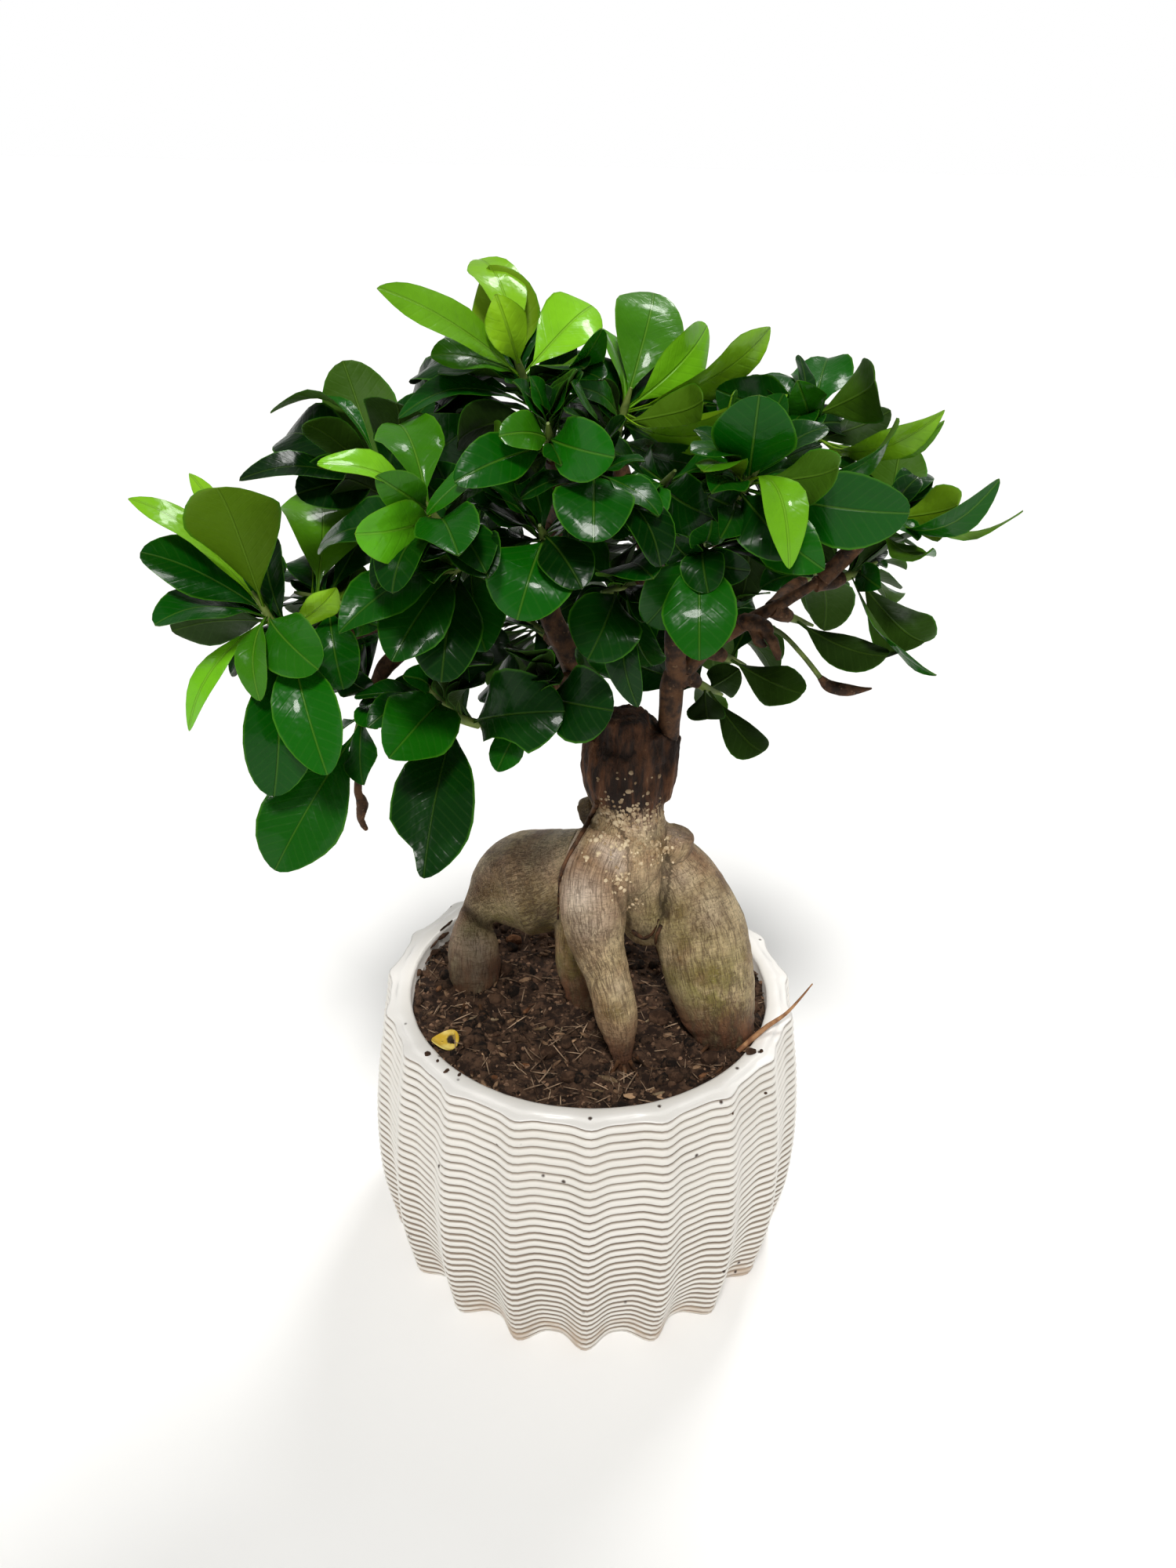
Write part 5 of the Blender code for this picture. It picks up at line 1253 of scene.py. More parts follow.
def bar_tree():
    """Round bars along paths: each path is a chain of points with its own thickness."""
    tree, start, size = new_tree("round bars along paths", {
        "Sides": "Int", "Steps": "Int", "Knobbliness": "Float", "Material": "Material"})
    path = start.node("GeometryNodeMeshToCurve", None, {"Mesh": start})
    path = start.node("GeometryNodeCurveSplineType", {"spline_type": "CATMULL_ROM"}, {"Curve": path})
    path = start.node("GeometryNodeSetSplineResolution", None, {
        "Geometry": path, "Resolution": size["Steps"]})
    ring = start.node("GeometryNodeCurvePrimitiveCircle", {"mode": "RADIUS"}, {
        "Resolution": size["Sides"], "Radius": 1.0})
    bars = start.node("GeometryNodeCurveToMesh", None, {
        "Curve": path, "Profile Curve": ring, "Scale": start.named("thick"), "Fill Caps": True})
    lumps = start.node("GeometryNodeInputPosition").grain(260.0, 2.0) - 0.5
    out = start.node("GeometryNodeInputNormal").scaled(lumps * size["Knobbliness"])
    bars = start.node("GeometryNodeSetPosition", None, {"Geometry": bars, "Offset": out})
    end_tree(bars, size["Material"])
    return tree


BAR_TREE = bar_tree()


def make_bars(name, paths, sides, steps, knobbliness, material):
    """Bars along paths of (centre, radius), as one piece."""
    points, thick, edges = [], [], []
    for path in paths:
        first = len(points)
        points += [centre for centre, _ in path]
        thick += [radius for _, radius in path]
        edges += [(first + index, first + index + 1) for index in range(len(path) - 1)]
    thing = link_mesh(name, points, edges, [])
    give(thing, thick=thick)
    run_tree(thing, BAR_TREE, {"Sides": sides, "Steps": steps, "Knobbliness": knobbliness,
                               "Material": material})
    face_outwards(thing)
    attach(thing, "root")
    return thing


def knots_path(knots):
    return [(seen_at(across, down, depth), radius * MM) for across, down, depth, radius in knots]


def twig_bark():
    """Red-brown twig bark with pale specks."""
    bark, start, finish = new_material("twig bark", specular=0.3)
    place = start.object_place()
    cloud = place.grain(240.0, 5.0, 0.65)
    colour = cloud.between(0.35, 0.66).paint((0.02, 0.009, 0.004), (0.13, 0.058, 0.024))
    specks = place.grain(700.0, 1.0).between(0.66, 0.74)
    finish(Base_Color=(specks * 0.4).paint(colour, (0.28, 0.17, 0.09)),
           Roughness=0.6 + cloud * 0.2,
           Normal=(cloud + specks * 0.4).bump(0.7, 0.5 * MM))
    return bark


TWIG_BARK = twig_bark()
woody_paths = [knots_path(knots) for knots in BRANCHES.values()]
woody_paths += [[(centre, radius) for centre, _, radius in shoot_routes(shoot)[0]]
                for shoot in SHOOTS.values()]
branches = make_bars("woody_branches", woody_paths, 12, 6, 0.9 * MM, TWIG_BARK)
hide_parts("trunk_and_roots")

# The thin roots.
# A thin dark root hangs from the column's neck and lies on the front root, finer ones spread
# from the roots' tips over the soil, and a torn rim runs under the stub in the middle.
AERIAL_ROOT = [(764, 1022), (756, 1042), (745, 1062), (733, 1080), (723, 1098), (716, 1118), (713, 1145),
               (712, 1172)]
ROOTLETS = [
    [(790, 1352), (779, 1372), (766, 1384)], [(796, 1356), (797, 1382), (790, 1396)],
    [(802, 1352), (813, 1374), (815, 1392)], [(806, 1345), (822, 1360), (836, 1366)],
    [(612, 1285), (618, 1296), (632, 1304)], [(592, 1284), (586, 1296), (576, 1302)],
    [(905, 1330), (893, 1345), (880, 1352)], [(925, 1345), (922, 1362), (910, 1372)],
    [(752, 1288), (744, 1300), (730, 1306)], [(845, 1180), (838, 1200), (842, 1226)],
]
TORN_RIM = [(808, 1186), (815, 1193), (822, 1196), (830, 1192), (836, 1184), (840, 1172)]


def laid_path(knots, thickness, lift):
    """A path of (centre, radius) laid on the wood or the soil that the picture shows there."""
    path = []
    for index, (across, down) in enumerate(knots):
        hits = [seen_on(surface, across, down) for surface in (TRUNK_SURFACE, SOIL_SURFACE)]
        hits = [(place, way) for place, way in hits if place]
        if hits:
            place, way = min(hits, key=lambda hit: (hit[0] - EYE).length)
            thin = thickness * (1.0 - 0.6 * index / (len(knots) - 1))
            path.append((place + way * (lift + thin) * MM, thin * MM))
    return path


SOIL_SURFACE = surface_of(frame["nodes"]["soil"])
thin_paths = [laid_path(AERIAL_ROOT, 1.0, -0.2)]
thin_paths += [laid_path(knots, 0.75, 0.1) for knots in ROOTLETS]
thin_roots = make_bars("thin_roots", thin_paths, 8, 6, 0.5 * MM, TWIG_BARK)
torn = make_bars("torn_rim", [laid_path(TORN_RIM, 0.8, -0.5)], 8, 6, 1.4 * MM, TWIG_BARK)


# The leafy shoots.
# Young green stems with glossy leathery leaves, obovate, folded a little along a pale midrib.
# Old leaves are dark, the youngest at the tips are yellow-green, and undersides are dull olive.
# Leaves deep in the crown carry painted shade: they are coloured darker.
SLAB_THICKNESS = 0.0008
BLADE_THICKNESS = 0.00045
BLADE_ROWS = 17
BLADE_COLUMNS = 9
SHARP_ANGLE = math.radians(70)
PETIOLE_WIDTH = 0.0011
PETIOLE_SHARE = 0.1
BROAD_ROWS = ((0.0, 2), (0.13, 2), (0.4, 3), (0.68, 3), (0.9, 2), (1.0, 1))
MIDDLE_ROWS = ((0.0, 2), (0.13, 2), (0.5, 3), (0.83, 2), (1.0, 1))
NARROW_ROWS = ((0.0, 2), (0.46, 3), (0.83, 2), (1.0, 1))
BROAD_LEAF = 18
NARROW_LEAF = 13
BLADE_START = 0.16
FOLD = 14
FOLD_DIFFERS = 8
STRETCHES = (1.0, 1.07, 0.93, 1.15, 0.87, 1.25)
TWISTS = (0, 14, -14, 28, -28)
RULE_LENGTH = (39, 6)
RULE_WIDTH_SHARE = 0.52
RULE_LEAN = (52, 14)
RULE_ARCH = (0.08, 0.05)
RULE_DROOP = 0.25
RULE_TRIES = 24
TURN_PER_TRY = 24
SHRINK_PER_TRY = 0.018
GOLDEN_TURN = 137.5
LOWEST_RULE_LEAF = 0.3
HIGHEST_RULE_LEAF = 0.95

NOT_BITTEN = (0.5, 1.0, 0.0)

Blade = namedtuple("Blade", "foot tip face width arch fold bite", defaults=(NOT_BITTEN,))


def half_width(blade, t):
    """Half the blade's width at a share t of its length: obovate, with a short blunt tip."""
    if t <= PETIOLE_SHARE:
        return PETIOLE_WIDTH / 2
    share = (t - PETIOLE_SHARE) / (1 - PETIOLE_SHARE)
    return max(blade.width / 2 * math.sin(math.pi * share ** 1.25) ** 0.7, PETIOLE_WIDTH / 2)


def strip_faces(first, count, second, next_count):
    """Triangles between two rows of points, split alike on both halves of the blade."""
    a, b = first, second
    if (count, next_count) == (2, 2):
        return [(a, a + 1, b + 1), (a, b + 1, b)]
    if (count, next_count) == (2, 3):
        return [(a, b + 1, b), (a, a + 1, b + 1), (a + 1, b + 2, b + 1)]
    if (count, next_count) == (3, 3):
        return [(a, a + 1, b), (a + 1, b + 1, b), (a + 1, a + 2, b + 2), (a + 1, b + 2, b + 1)]
    if (count, next_count) == (3, 2):
        return [(a, a + 1, b), (a + 1, b + 1, b), (a + 1, a + 2, b + 1)]
    return [(a, a + 1, b)]


def blade_surface(blade, rows, extra):
    """A leaf as a thin closed slab, every way thicker by extra, for finding what it touches."""
    line = blade.tip - blade.foot
    length = line.length
    ahead = line / length
    aside = ahead.cross(blade.face).normalized()
    fold = math.radians(blade.fold)
    upper, lower, faces, starts = [], [], [], []
    for t, count in rows:
        lean = 4 * blade.arch * (1 - 2 * t)
        out = (blade.face - ahead * lean).normalized()
        middle = blade.foot + line * t + blade.face * (length * blade.arch * 4 * t * (1 - t))
        if t == 1.0:
            middle += ahead * extra
        half = half_width(blade, t) + extra
        edge = aside * (half * math.cos(fold)) + out * (half * math.sin(fold))
        other = aside * (-half * math.cos(fold)) + out * (half * math.sin(fold))
        row = {1: [Vector()], 2: [other, edge], 3: [other, Vector(), edge]}[count]
        starts.append(len(upper))
        upper += [middle + place + out * extra for place in row]
        lower += [middle + place - out * (SLAB_THICKNESS + extra) for place in row]
    below = len(upper)
    for index in range(len(rows) - 1):
        first, count = starts[index], rows[index][1]
        second, next_count = starts[index + 1], rows[index + 1][1]
        strip = strip_faces(first, count, second, next_count)
        faces += strip
        faces += [tuple(corner + below for corner in reversed(face)) for face in strip]
        faces.append((first, second, second + below, first + below))
        faces.append((first + count - 1, first + count - 1 + below,
                      second + next_count - 1 + below, second + next_count - 1))
    faces.append((0, below, below + 1, 1))
    return BVHTree.FromPolygons(upper + lower, faces)


def along_stem(green, share):
    """A point of the stem's middle line, and its tangent there."""
    place = min(share, 0.999) * (len(green) - 2)
    span = int(place)
    here, there = green[span], green[span + 1]
    return here[0].lerp(there[0], place - span), here[1].lerp(there[1], place - span).normalized()


def turned(direction, axis, degrees):
    return Matrix.Rotation(math.radians(degrees), 3, axis) @ direction


def shown_blade(leaf, foot, stretch, toward, twist, fold):
    """A leaf of the picture in space: its tip lies on the sight line, a leaf's length from its foot."""
    sight = sight_direction(leaf.across, leaf.down)
    line = foot - EYE
    nearest = line.dot(sight)
    miss = (line - sight * nearest).length
    length = leaf.length * MM * stretch
    reach = math.sqrt(max(length ** 2 - miss ** 2, 0.0))
    tip = EYE + sight * (nearest - toward * reach)
    ahead = (tip - foot).normalized()
    to_eye = (EYE - foot).normalized()
    face = (to_eye - ahead * to_eye.dot(ahead)).normalized()
    face = turned(face, ahead, leaf.turn + twist)
    bite = BITTEN.get((leaf.across, leaf.down), NOT_BITTEN)
    return Blade(foot, tip, face, leaf.width * MM, leaf.arch, fold, bite)


def rule_blade(foot, tangent, turn, draw, size):
    """A leaf by rule: it leaves the stem at its turn, leans out and droops a little."""
    aside = turned(tangent.orthogonal().normalized(), tangent, turn)
    lean = math.radians(RULE_LEAN[0] + RULE_LEAN[1] * draw)
    ahead = tangent * math.cos(lean) + aside * math.sin(lean)
    ahead.z -= RULE_DROOP
    ahead.normalize()
    face = Vector((0, 0, 1)) + tangent / 2
    face = (face - ahead * face.dot(ahead)).normalized()
    length = (RULE_LENGTH[0] + RULE_LENGTH[1] * draw) * MM * size
    arch = RULE_ARCH[0] + RULE_ARCH[1] * draw
    return Blade(foot, foot + ahead * length, face, length * RULE_WIDTH_SHARE, arch, FOLD)


def scatter(number):
    """A repeatable number between -1 and 1."""
    return math.modf(math.sin(number * 12.9898) * 43758.5453)[0]


def without_petiole(rows):
    """The rows of the blade alone, which keeps clear of its neighbours on the same stem."""
    return ((BLADE_START, 2), *(row for row in rows if row[0] > BLADE_START))


def find_room(candidates, rows, foreign, own):
    """The candidate, clear of all other pieces, that meets the fewest leaves of its own shoot."""
    best = None
    fewest = len(own) + 1
    for blade in candidates:
        surface = blade_surface(blade, rows, 1.5 * GAP)
        if any(surface.overlap(other) for other in foreign):
            continue
        surface = blade_surface(blade, without_petiole(rows), GAP / 2)
        met = sum(1 for other in own if surface.overlap(other))
        if met < fewest:
            best, fewest = blade, met
        if not met:
            break
    return best


def shown_candidates(leaf, foot, fold):
    """The leaf as the picture shows it, then nearer or farther along the same sight line."""
    for toward in (leaf.toward, -leaf.toward):
        for stretch in STRETCHES:
            for twist in TWISTS:
                yield shown_blade(leaf, foot, stretch, toward, twist, fold)


def rule_candidates(foot, tangent, turn, seed, spread, middle):
    """Leaves by rule that the picture would not show outside the shoot's own spread."""
    for attempt in range(RULE_TRIES):
        draw = scatter(seed + attempt / 3)
        size = 1.0 - SHRINK_PER_TRY * attempt
        blade = rule_blade(foot, tangent, turn + TURN_PER_TRY * attempt, draw, size)
        if (place_in_picture(blade.tip) - middle).length < spread:
            yield blade


# Small leaves inside the crown: where the picture's crown ends, and how many each shoot has
CROWN_EDGE = [(215, 640), (300, 640), (360, 700), (400, 560), (520, 540), (590, 400), (700, 400),
              (800, 430), (960, 450), (1010, 500), (1170, 570), (1210, 650), (1150, 720), (1110, 740),
              (1030, 730), (970, 780), (900, 830), (800, 870), (740, 880), (620, 880), (560, 860),
              (430, 900), (300, 900), (240, 800)]
INNER_LEAVES = 14
INNER_LENGTH = 0.8
INNER_TRIES = 40
INNER_SHRINK = 0.012
INNER_TURN = 47
INNER_TURN_PER_SHOOT = 60
LOWEST_INNER_LEAF = 0.02
INNER_LEAF_SPAN = 0.9
# Where the picture's crown is open, as (across, down, radius), and how other holes are filled
SKY_GAPS = [(515, 845, 34), (870, 664, 14), (612, 690, 14), (612, 762, 16), (355, 745, 14),
            (560, 540, 18), (1010, 700, 12), (990, 775, 22), (800, 868, 24), (750, 862, 12)]
HOLES_ACROSS = range(400, 1120, 12)
HOLES_DOWN = range(470, 880, 12)
HOLE_REACHES = (1.5, 1.25, 1.8, 1.1)
SHORTEST_FILLER = 20
LONGEST_FILLER = 46
FILLER_SLACK = 1.12
FILLER_WIDTH_SHARE = 0.55
FILLER_TURN = 30
FILLER_ARCH = 0.1
FEET_TRIED = 6
FEET_SHARES = (0.1, 0.4, 0.7, 0.95)
LEAVES_PER_FOOT = 2
PICTURE_PER_MM = 3.9
# The tone of the leaves that the picture doesn't show, from age and painted shade: those by rule and
# the inner ones by how far up their stem they grow, and those that fill holes; the inner ones and the
# fillers are painted darker, as shade deep in the crown
RULE_FRESHNESS_AND_LIGHT = 0.4
INNER_FRESHNESS_AND_LIGHT = 0.25
FILLER_FRESHNESS_AND_LIGHT = 0.1


# Leaves of the picture that something has bitten, by the place of their tip: how far along the
# blade the bite's middle is, half its length as a share of the leaf's, and its depth as a share of
# half the width
BITTEN = {(706, 906): (0.58, 0.16, 0.4), (540, 1120): (0.9, 0.13, 0.62)}


def inside_crown(place):
    inside = False
    for (x0, y0), (x1, y1) in zip(CROWN_EDGE, CROWN_EDGE[1:] + CROWN_EDGE[:1]):
        if (y0 > place.y) != (y1 > place.y) and place.x < (x1 - x0) * (place.y - y0) / (y1 - y0) + x0:
            inside = not inside
    return inside


def is_open(place):
    """Whether the picture shows the sky there, inside the crown."""
    return any((place - Vector(middle)).length < radius for *middle, radius in SKY_GAPS)


def spoils(blade, shown):
    """Whether a leaf would stand before a leaf of the picture, or in an open place of the crown."""
    aside = (blade.tip - blade.foot).normalized().cross(blade.face) * (blade.width / 2)
    for share, side in ((0.35, 0.0), (0.6, 0.0), (0.6, 0.8), (0.6, -0.8), (0.8, 0.0), (1.0, 0.0)):
        point = blade.foot.lerp(blade.tip, share) + aside * side
        if shown.ray_cast(point, (point - EYE).normalized())[0] or is_open(place_in_picture(point)):
            return True
    return False


def inner_candidates(foot, tangent, turn, seed, shown):
    """Smaller leaves inside the crown that hide no leaf of the picture."""
    for attempt in range(INNER_TRIES):
        draw = scatter(seed + attempt / 7)
        size = INNER_LENGTH * (1.0 - INNER_SHRINK * attempt)
        blade = rule_blade(foot, tangent, turn + INNER_TURN * attempt, draw, size)
        in_box = all(cad_box[0][axis] < blade.tip[axis] < cad_box[1][axis] for axis in range(3))
        if in_box and inside_crown(place_in_picture(blade.tip)) and not spoils(blade, shown):
            yield blade


def place_leaves():
    """Every shoot's leaves: those of the picture first, then those by rule, then the inner ones."""
    names = ("pot", "soil", "trunk_and_roots", "dry_stalk", "fallen_leaf")
    standing = [surface_of(frame["nodes"][name]) for name in names]
    routes = {name: shoot_routes(shoot)[1] for name, shoot in SHOOTS.items()}
    stems = {name: BVHTree.FromPolygons(*tube_mesh(route, 4)) for name, route in routes.items()}
    grown = {name: [] for name in SHOOTS}
    surfaces = {name: [] for name in SHOOTS}
    bare = {name: [] for name in SHOOTS}

    def add_leaf(name, candidates, rows, youth):
        foreign = list(standing)
        for other in SHOOTS:
            if other != name:
                foreign += [stems[other], *surfaces[other]]
        blade = find_room(candidates, rows, foreign, bare[name])
        if blade:
            grown[name].append((blade, youth))
            surfaces[name].append(blade_surface(blade, rows, 0.0))
            bare[name].append(blade_surface(blade, without_petiole(rows), 0.0))

    for name, shoot in SHOOTS.items():
        for number, leaf in enumerate(shoot.leaves):
            foot = along_stem(routes[name], leaf.along)[0]
            fold = FOLD + FOLD_DIFFERS * scatter(number + leaf.length)
            rows = NARROW_ROWS if leaf.width < NARROW_LEAF else MIDDLE_ROWS
            if leaf.width >= BROAD_LEAF:
                rows = BROAD_ROWS
            add_leaf(name, shown_candidates(leaf, foot, fold), rows, leaf.fresh)
    bare_wood = [knots_path(BRANCHES[name]) for name in ("left", "right", "right_arm")]
    shown = join_blades([blade for name in SHOOTS for blade, _ in grown[name]], bare_wood)
    for order, (name, shoot) in enumerate(SHOOTS.items()):
        middle = place_in_picture(routes[name][-2][0])
        for number in range(shoot.more):
            rise = (number + 1) / (shoot.more + 1)
            share = LOWEST_RULE_LEAF + (HIGHEST_RULE_LEAF - LOWEST_RULE_LEAF) * rise
            foot, tangent = along_stem(routes[name], share)
            seed = 7 * order + 2 * number
            tries = rule_candidates(foot, tangent, GOLDEN_TURN * number, seed, shoot.spread, middle)
            add_leaf(name, (blade for blade in tries if not spoils(blade, shown)),
                     MIDDLE_ROWS, share * RULE_FRESHNESS_AND_LIGHT)
    for order, name in enumerate(SHOOTS):
        count = INNER_LEAVES if SHOOTS[name].more else 0
        for number in range(count):
            share = LOWEST_INNER_LEAF + INNER_LEAF_SPAN * number / count
            foot, tangent = along_stem(routes[name], share)
            turn = GOLDEN_TURN * number + INNER_TURN_PER_SHOOT * order
            tries = inner_candidates(foot, tangent, turn, 11 * order + 3 * number, shown)
            add_leaf(name, tries, MIDDLE_ROWS, share * INNER_FRESHNESS_AND_LIGHT)
    feet = [(name, along_stem(routes[name], share)[0]) for name in SHOOTS for share in FEET_SHARES]
    used = [0] * len(feet)
    for across in HOLES_ACROSS:
        for down in HOLES_DOWN:
            hole = Vector((across, down))
            if is_open(hole) or not inside_crown(hole):
                continue
            sight = sight_direction(across, down)
            if any(surface.ray_cast(EYE, sight)[0] for group in surfaces.values() for surface in group):
                continue
            free = [index for index in range(len(feet)) if used[index] < LEAVES_PER_FOOT]
            free.sort(key=lambda index: (place_in_picture(feet[index][1]) - hole).length)
            for index in free[:FEET_TRIED]:
                name, foot = feet[index]
                before = len(grown[name])
                tries = hole_candidates(foot, hole, across + down)
                add_leaf(name, (blade for blade in tries if not spoils(blade, shown)),
                         MIDDLE_ROWS, FILLER_FRESHNESS_AND_LIGHT)
                if len(grown[name]) > before:
                    used[index] += 1
                    break
    return routes, grown


def hole_candidates(foot, hole, seed):
    """Leaves from a foot that would cover a hole of the crown, where the picture has none."""
    start = place_in_picture(foot)
    for reach in HOLE_REACHES:
        tip = start + (hole - start) * reach
        length = max(SHORTEST_FILLER, (tip - start).length / PICTURE_PER_MM * FILLER_SLACK)
        if length < LONGEST_FILLER:
            leaf = Leaf(0, tip.x, tip.y, length, 1, length * FILLER_WIDTH_SHARE,
                        FILLER_TURN * scatter(seed), FILLER_ARCH)
            yield from shown_candidates(leaf, foot, FOLD)


def join_blades(blades, paths):
    """One surface of the blades' middle parts and of bare branches, for finding what hides what."""
    points = []
    for blade in blades:
        line = blade.tip - blade.foot
        aside = line.normalized().cross(blade.face) * blade.width / 2
        middle = blade.foot + line * 0.6
        points += [blade.foot, middle - aside, blade.tip, middle + aside]
    for path in paths:
        for (start, radius), (end, _) in zip(path, path[1:]):
            aside = (end - start).cross(LOOK).normalized() * radius
            points += [start - aside, start + aside, end + aside, end - aside]
    faces = [tuple(range(first, first + 4)) for first in range(0, len(points), 4)]
    return BVHTree.FromPolygons(points, faces)


def leaf_tree():
    """Blades from points: each point says where its leaf starts, how it lies and its sizes."""
    tree, start, size = new_tree("leaves on their stems", {
        "Rows": "Int", "Columns": "Int", "Thickness": "Float", "Petiole Width": "Float",
        "Petiole Share": "Float", "Material": "Material"})
    corner = start.node("GeometryNodeInputPosition").part("X")
    flat = start.node("GeometryNodeMeshGrid", None, {
        "Size X": 2.0, "Size Y": 1.0, "Vertices X": size["Columns"], "Vertices Y": size["Rows"]}, "Mesh")
    steps = (corner.other("Y") + 0.5) * math.pi
    across = corner * (math.pi / 2)
    sides = []
    for layer, geometry in ((1.0, flat), (0.0, start.node("GeometryNodeFlipFaces", None, {0: flat}))):
        for name, flow in (("across", across.sine()),
                           ("along", 0.5 - steps.cosine() * 0.5), ("upper", layer)):
            geometry = geometry.stored(name, flow)
        sides.append(geometry)
    slab = start.node("GeometryNodeJoinGeometry", None, {0: sides[0]})
    tree.links.new(sides[1].socket, slab.socket.node.inputs[0])
    placed = start.node("GeometryNodeInstanceOnPoints", None, {"Points": start, "Instance": slab})
    real = placed.made_real()

    read = start.named
    foot, ahead, aside, face = (read(name, "FLOAT_VECTOR") for name in ("foot", "ahead", "aside", "face"))
    across, along, length, arch = (read(name) for name in ("across", "along", "length", "arch"))
    body = (along - size["Petiole Share"]) / (1.0 - size["Petiole Share"])
    body = body.positive()
    swell = ((body ** read("shape")) * math.pi).sine()
    petiole = size["Petiole Width"] * 0.5 * along.maths("LESS_THAN", 0.4)
    roundness = 0.95 - (0.95 - read("blunt")) * body
    half = (swell.positive() ** roundness) * read("width") * 0.5
    from_bite = (along - read("bite_at")) / read("bite_reach")
    bitten = (1.0 - from_bite * from_bite).positive() ** 0.5
    half = half * (1.0 - bitten * read("bite_depth") * across.maths("GREATER_THAN", 0.0))
    half = half.maths("MAXIMUM", petiole)
    lean = (1.0 - along * 2.0) * arch * -4.0
    out = face.moved(ahead.scaled(lean))
    out = out.vector("NORMALIZE")
    flatness = across.unsigned()
    fold = read("fold") * (1.15 - along * 0.5)
    wave = along * 9.0 + read("seed") * 6.0 + across * 0.8
    lift = (half * flatness * (1.0 - flatness * 0.35) * fold.sine() * 1.3
            + half * flatness * flatness * wave.sine() * read("wave"))
    tip = (along - 0.62).positive()
    droop = tip * tip * length * read("droop") * -1.0
    rounded = 1.0 - flatness ** 8.0
    depth = ((read("upper") - 1.0) * size["Thickness"] * rounded
             * along.maths("GREATER_THAN", 0.001))
    place = foot.moved(
        ahead.scaled(along * length), face.scaled(along * (1.0 - along) * arch * length * 4.0 + droop),
        aside.scaled(across * half * fold.cosine()), out.scaled(lift + depth))
    shaped = start.node("GeometryNodeSetPosition", None, {"Geometry": real, "Position": place})
    for name, flow in (("aside_mm", across * half * 1000.0), ("along_mm", along * length * 1000.0)):
        shaped = shaped.stored(name, flow)
    merged = start.node("GeometryNodeMergeByDistance", None, {"Geometry": shaped, "Distance": 0.02 * MM})
    end_tree(merged, size["Material"])
    return tree


def leaf_material():
    """Glossy leaf: dark to yellow-green by age and painted shade, a pale midrib, faint side veins, olive
    below.
    """
    leaf, start, finish = new_material("glossy leaf", specular=0.11, coat_roughness=0.06)
    place = start.object_place()
    youth, seed, upper = (start.attribute(name) for name in ("youth", "seed", "upper"))
    aside, along = start.attribute("aside_mm"), start.attribute("along_mm")
    share = start.attribute("along")
    off = aside.unsigned()
    midrib = 1.0 - off.between(0.15, 0.45)
    phase = (along - off * 0.85) / 3.1 + seed
    ridge = phase.maths("PINGPONG", 0.5)
    veins = (1.0 - ridge.between(0.0, 0.16)) * off.between(0.3, 1.5)
    cloud = place.grain(90.0, 3.0)
    dark = seed.paint((0.001, 0.012, 0.001), (0.002, 0.03, 0.0015))
    middle = seed.paint((0.0015, 0.07, 0.001), (0.009, 0.14, 0.002))
    fresh = seed.paint((0.14, 0.54, 0.01), (0.38, 0.71, 0.02))
    # Painted light and shade: the tone runs from near-black green for leaves in the crown's shade to lit
    # yellow-green, as well as with age.
    top = (youth * 2.0).between(0.0, 1.0).paint(dark, middle)
    top = (youth * 2.0 - 1.0).between(0.0, 1.0).paint(top, fresh)
    top = (cloud.between(0.45, 0.75) * 0.2).paint(top, (0.006, 0.08, 0.003))
    below = (youth * 2.2).between(0.0, 1.0).paint((0.013, 0.034, 0.004), (0.045, 0.12, 0.005))
    below = (youth * 2.2 - 1.0).between(0.0, 1.0).paint(below, (0.2, 0.36, 0.004))
    colour = upper.paint(below, top)
    colour = (veins * 0.03).paint(colour, (0.15, 0.3, 0.05))
    margin = start.attribute("across").unsigned().between(0.92, 0.99)
    colour = (margin * 0.34).paint(colour, (0.07, 0.3, 0.01))
    shows = midrib * (0.12 + youth * 0.4) * (1.0 - share * 0.5)
    colour = shows.paint(colour, (0.19, 0.38, 0.03))
    ripple = place.grain(95.0, 3.0) + place.grain(260.0, 2.0) * 0.22
    finish(Base_Color=colour, Roughness=0.48 - upper * 0.24 + cloud * 0.1,
           Coat_Weight=upper * (0.08 + youth * 0.14),
           Normal=(ripple - veins * 0.03 - midrib * 0.35 * (upper * 2.0 - 1.0)).bump(0.7, 1.4 * MM))
    return leaf


def leaf_points(name, grown):
    """The points that carry a shoot's leaves, with what each leaf is like."""
    rows = []
    for number, (blade, youth) in enumerate(grown):
        line = blade.tip - blade.foot
        ahead = line.normalized()
        draw = scatter(number * 3.7 + blade.width * 9000 + blade.tip.x * 700)
        other = scatter(number * 1.9 + blade.tip.z * 900)
        rows.append((blade.foot, ahead, ahead.cross(blade.face).normalized(), blade.face, line.length,
                     blade.width, blade.arch, math.radians(blade.fold), 0.19 + 0.11 * draw,
                     0.45 + 0.45 * other, 1.42 + 0.18 * other,
                     min(0.9, max(0.46, 0.92 - 0.72 * blade.width / line.length + 0.12 * draw)),
                     min(1.0, max(0.0, youth + 0.06 * draw)), 0.5 + 0.5 * draw, *blade.bite))
    points = link_mesh(name + "_leaves", [row[0] for row in rows], [], [])
    labels = ("foot", "ahead", "aside", "face", "length", "width", "arch", "fold", "wave", "droop",
              "shape", "blunt", "youth", "seed", "bite_at", "bite_reach", "bite_depth")
    give(points, **{label: [row[index] for row in rows] for index, label in enumerate(labels)})
    return points


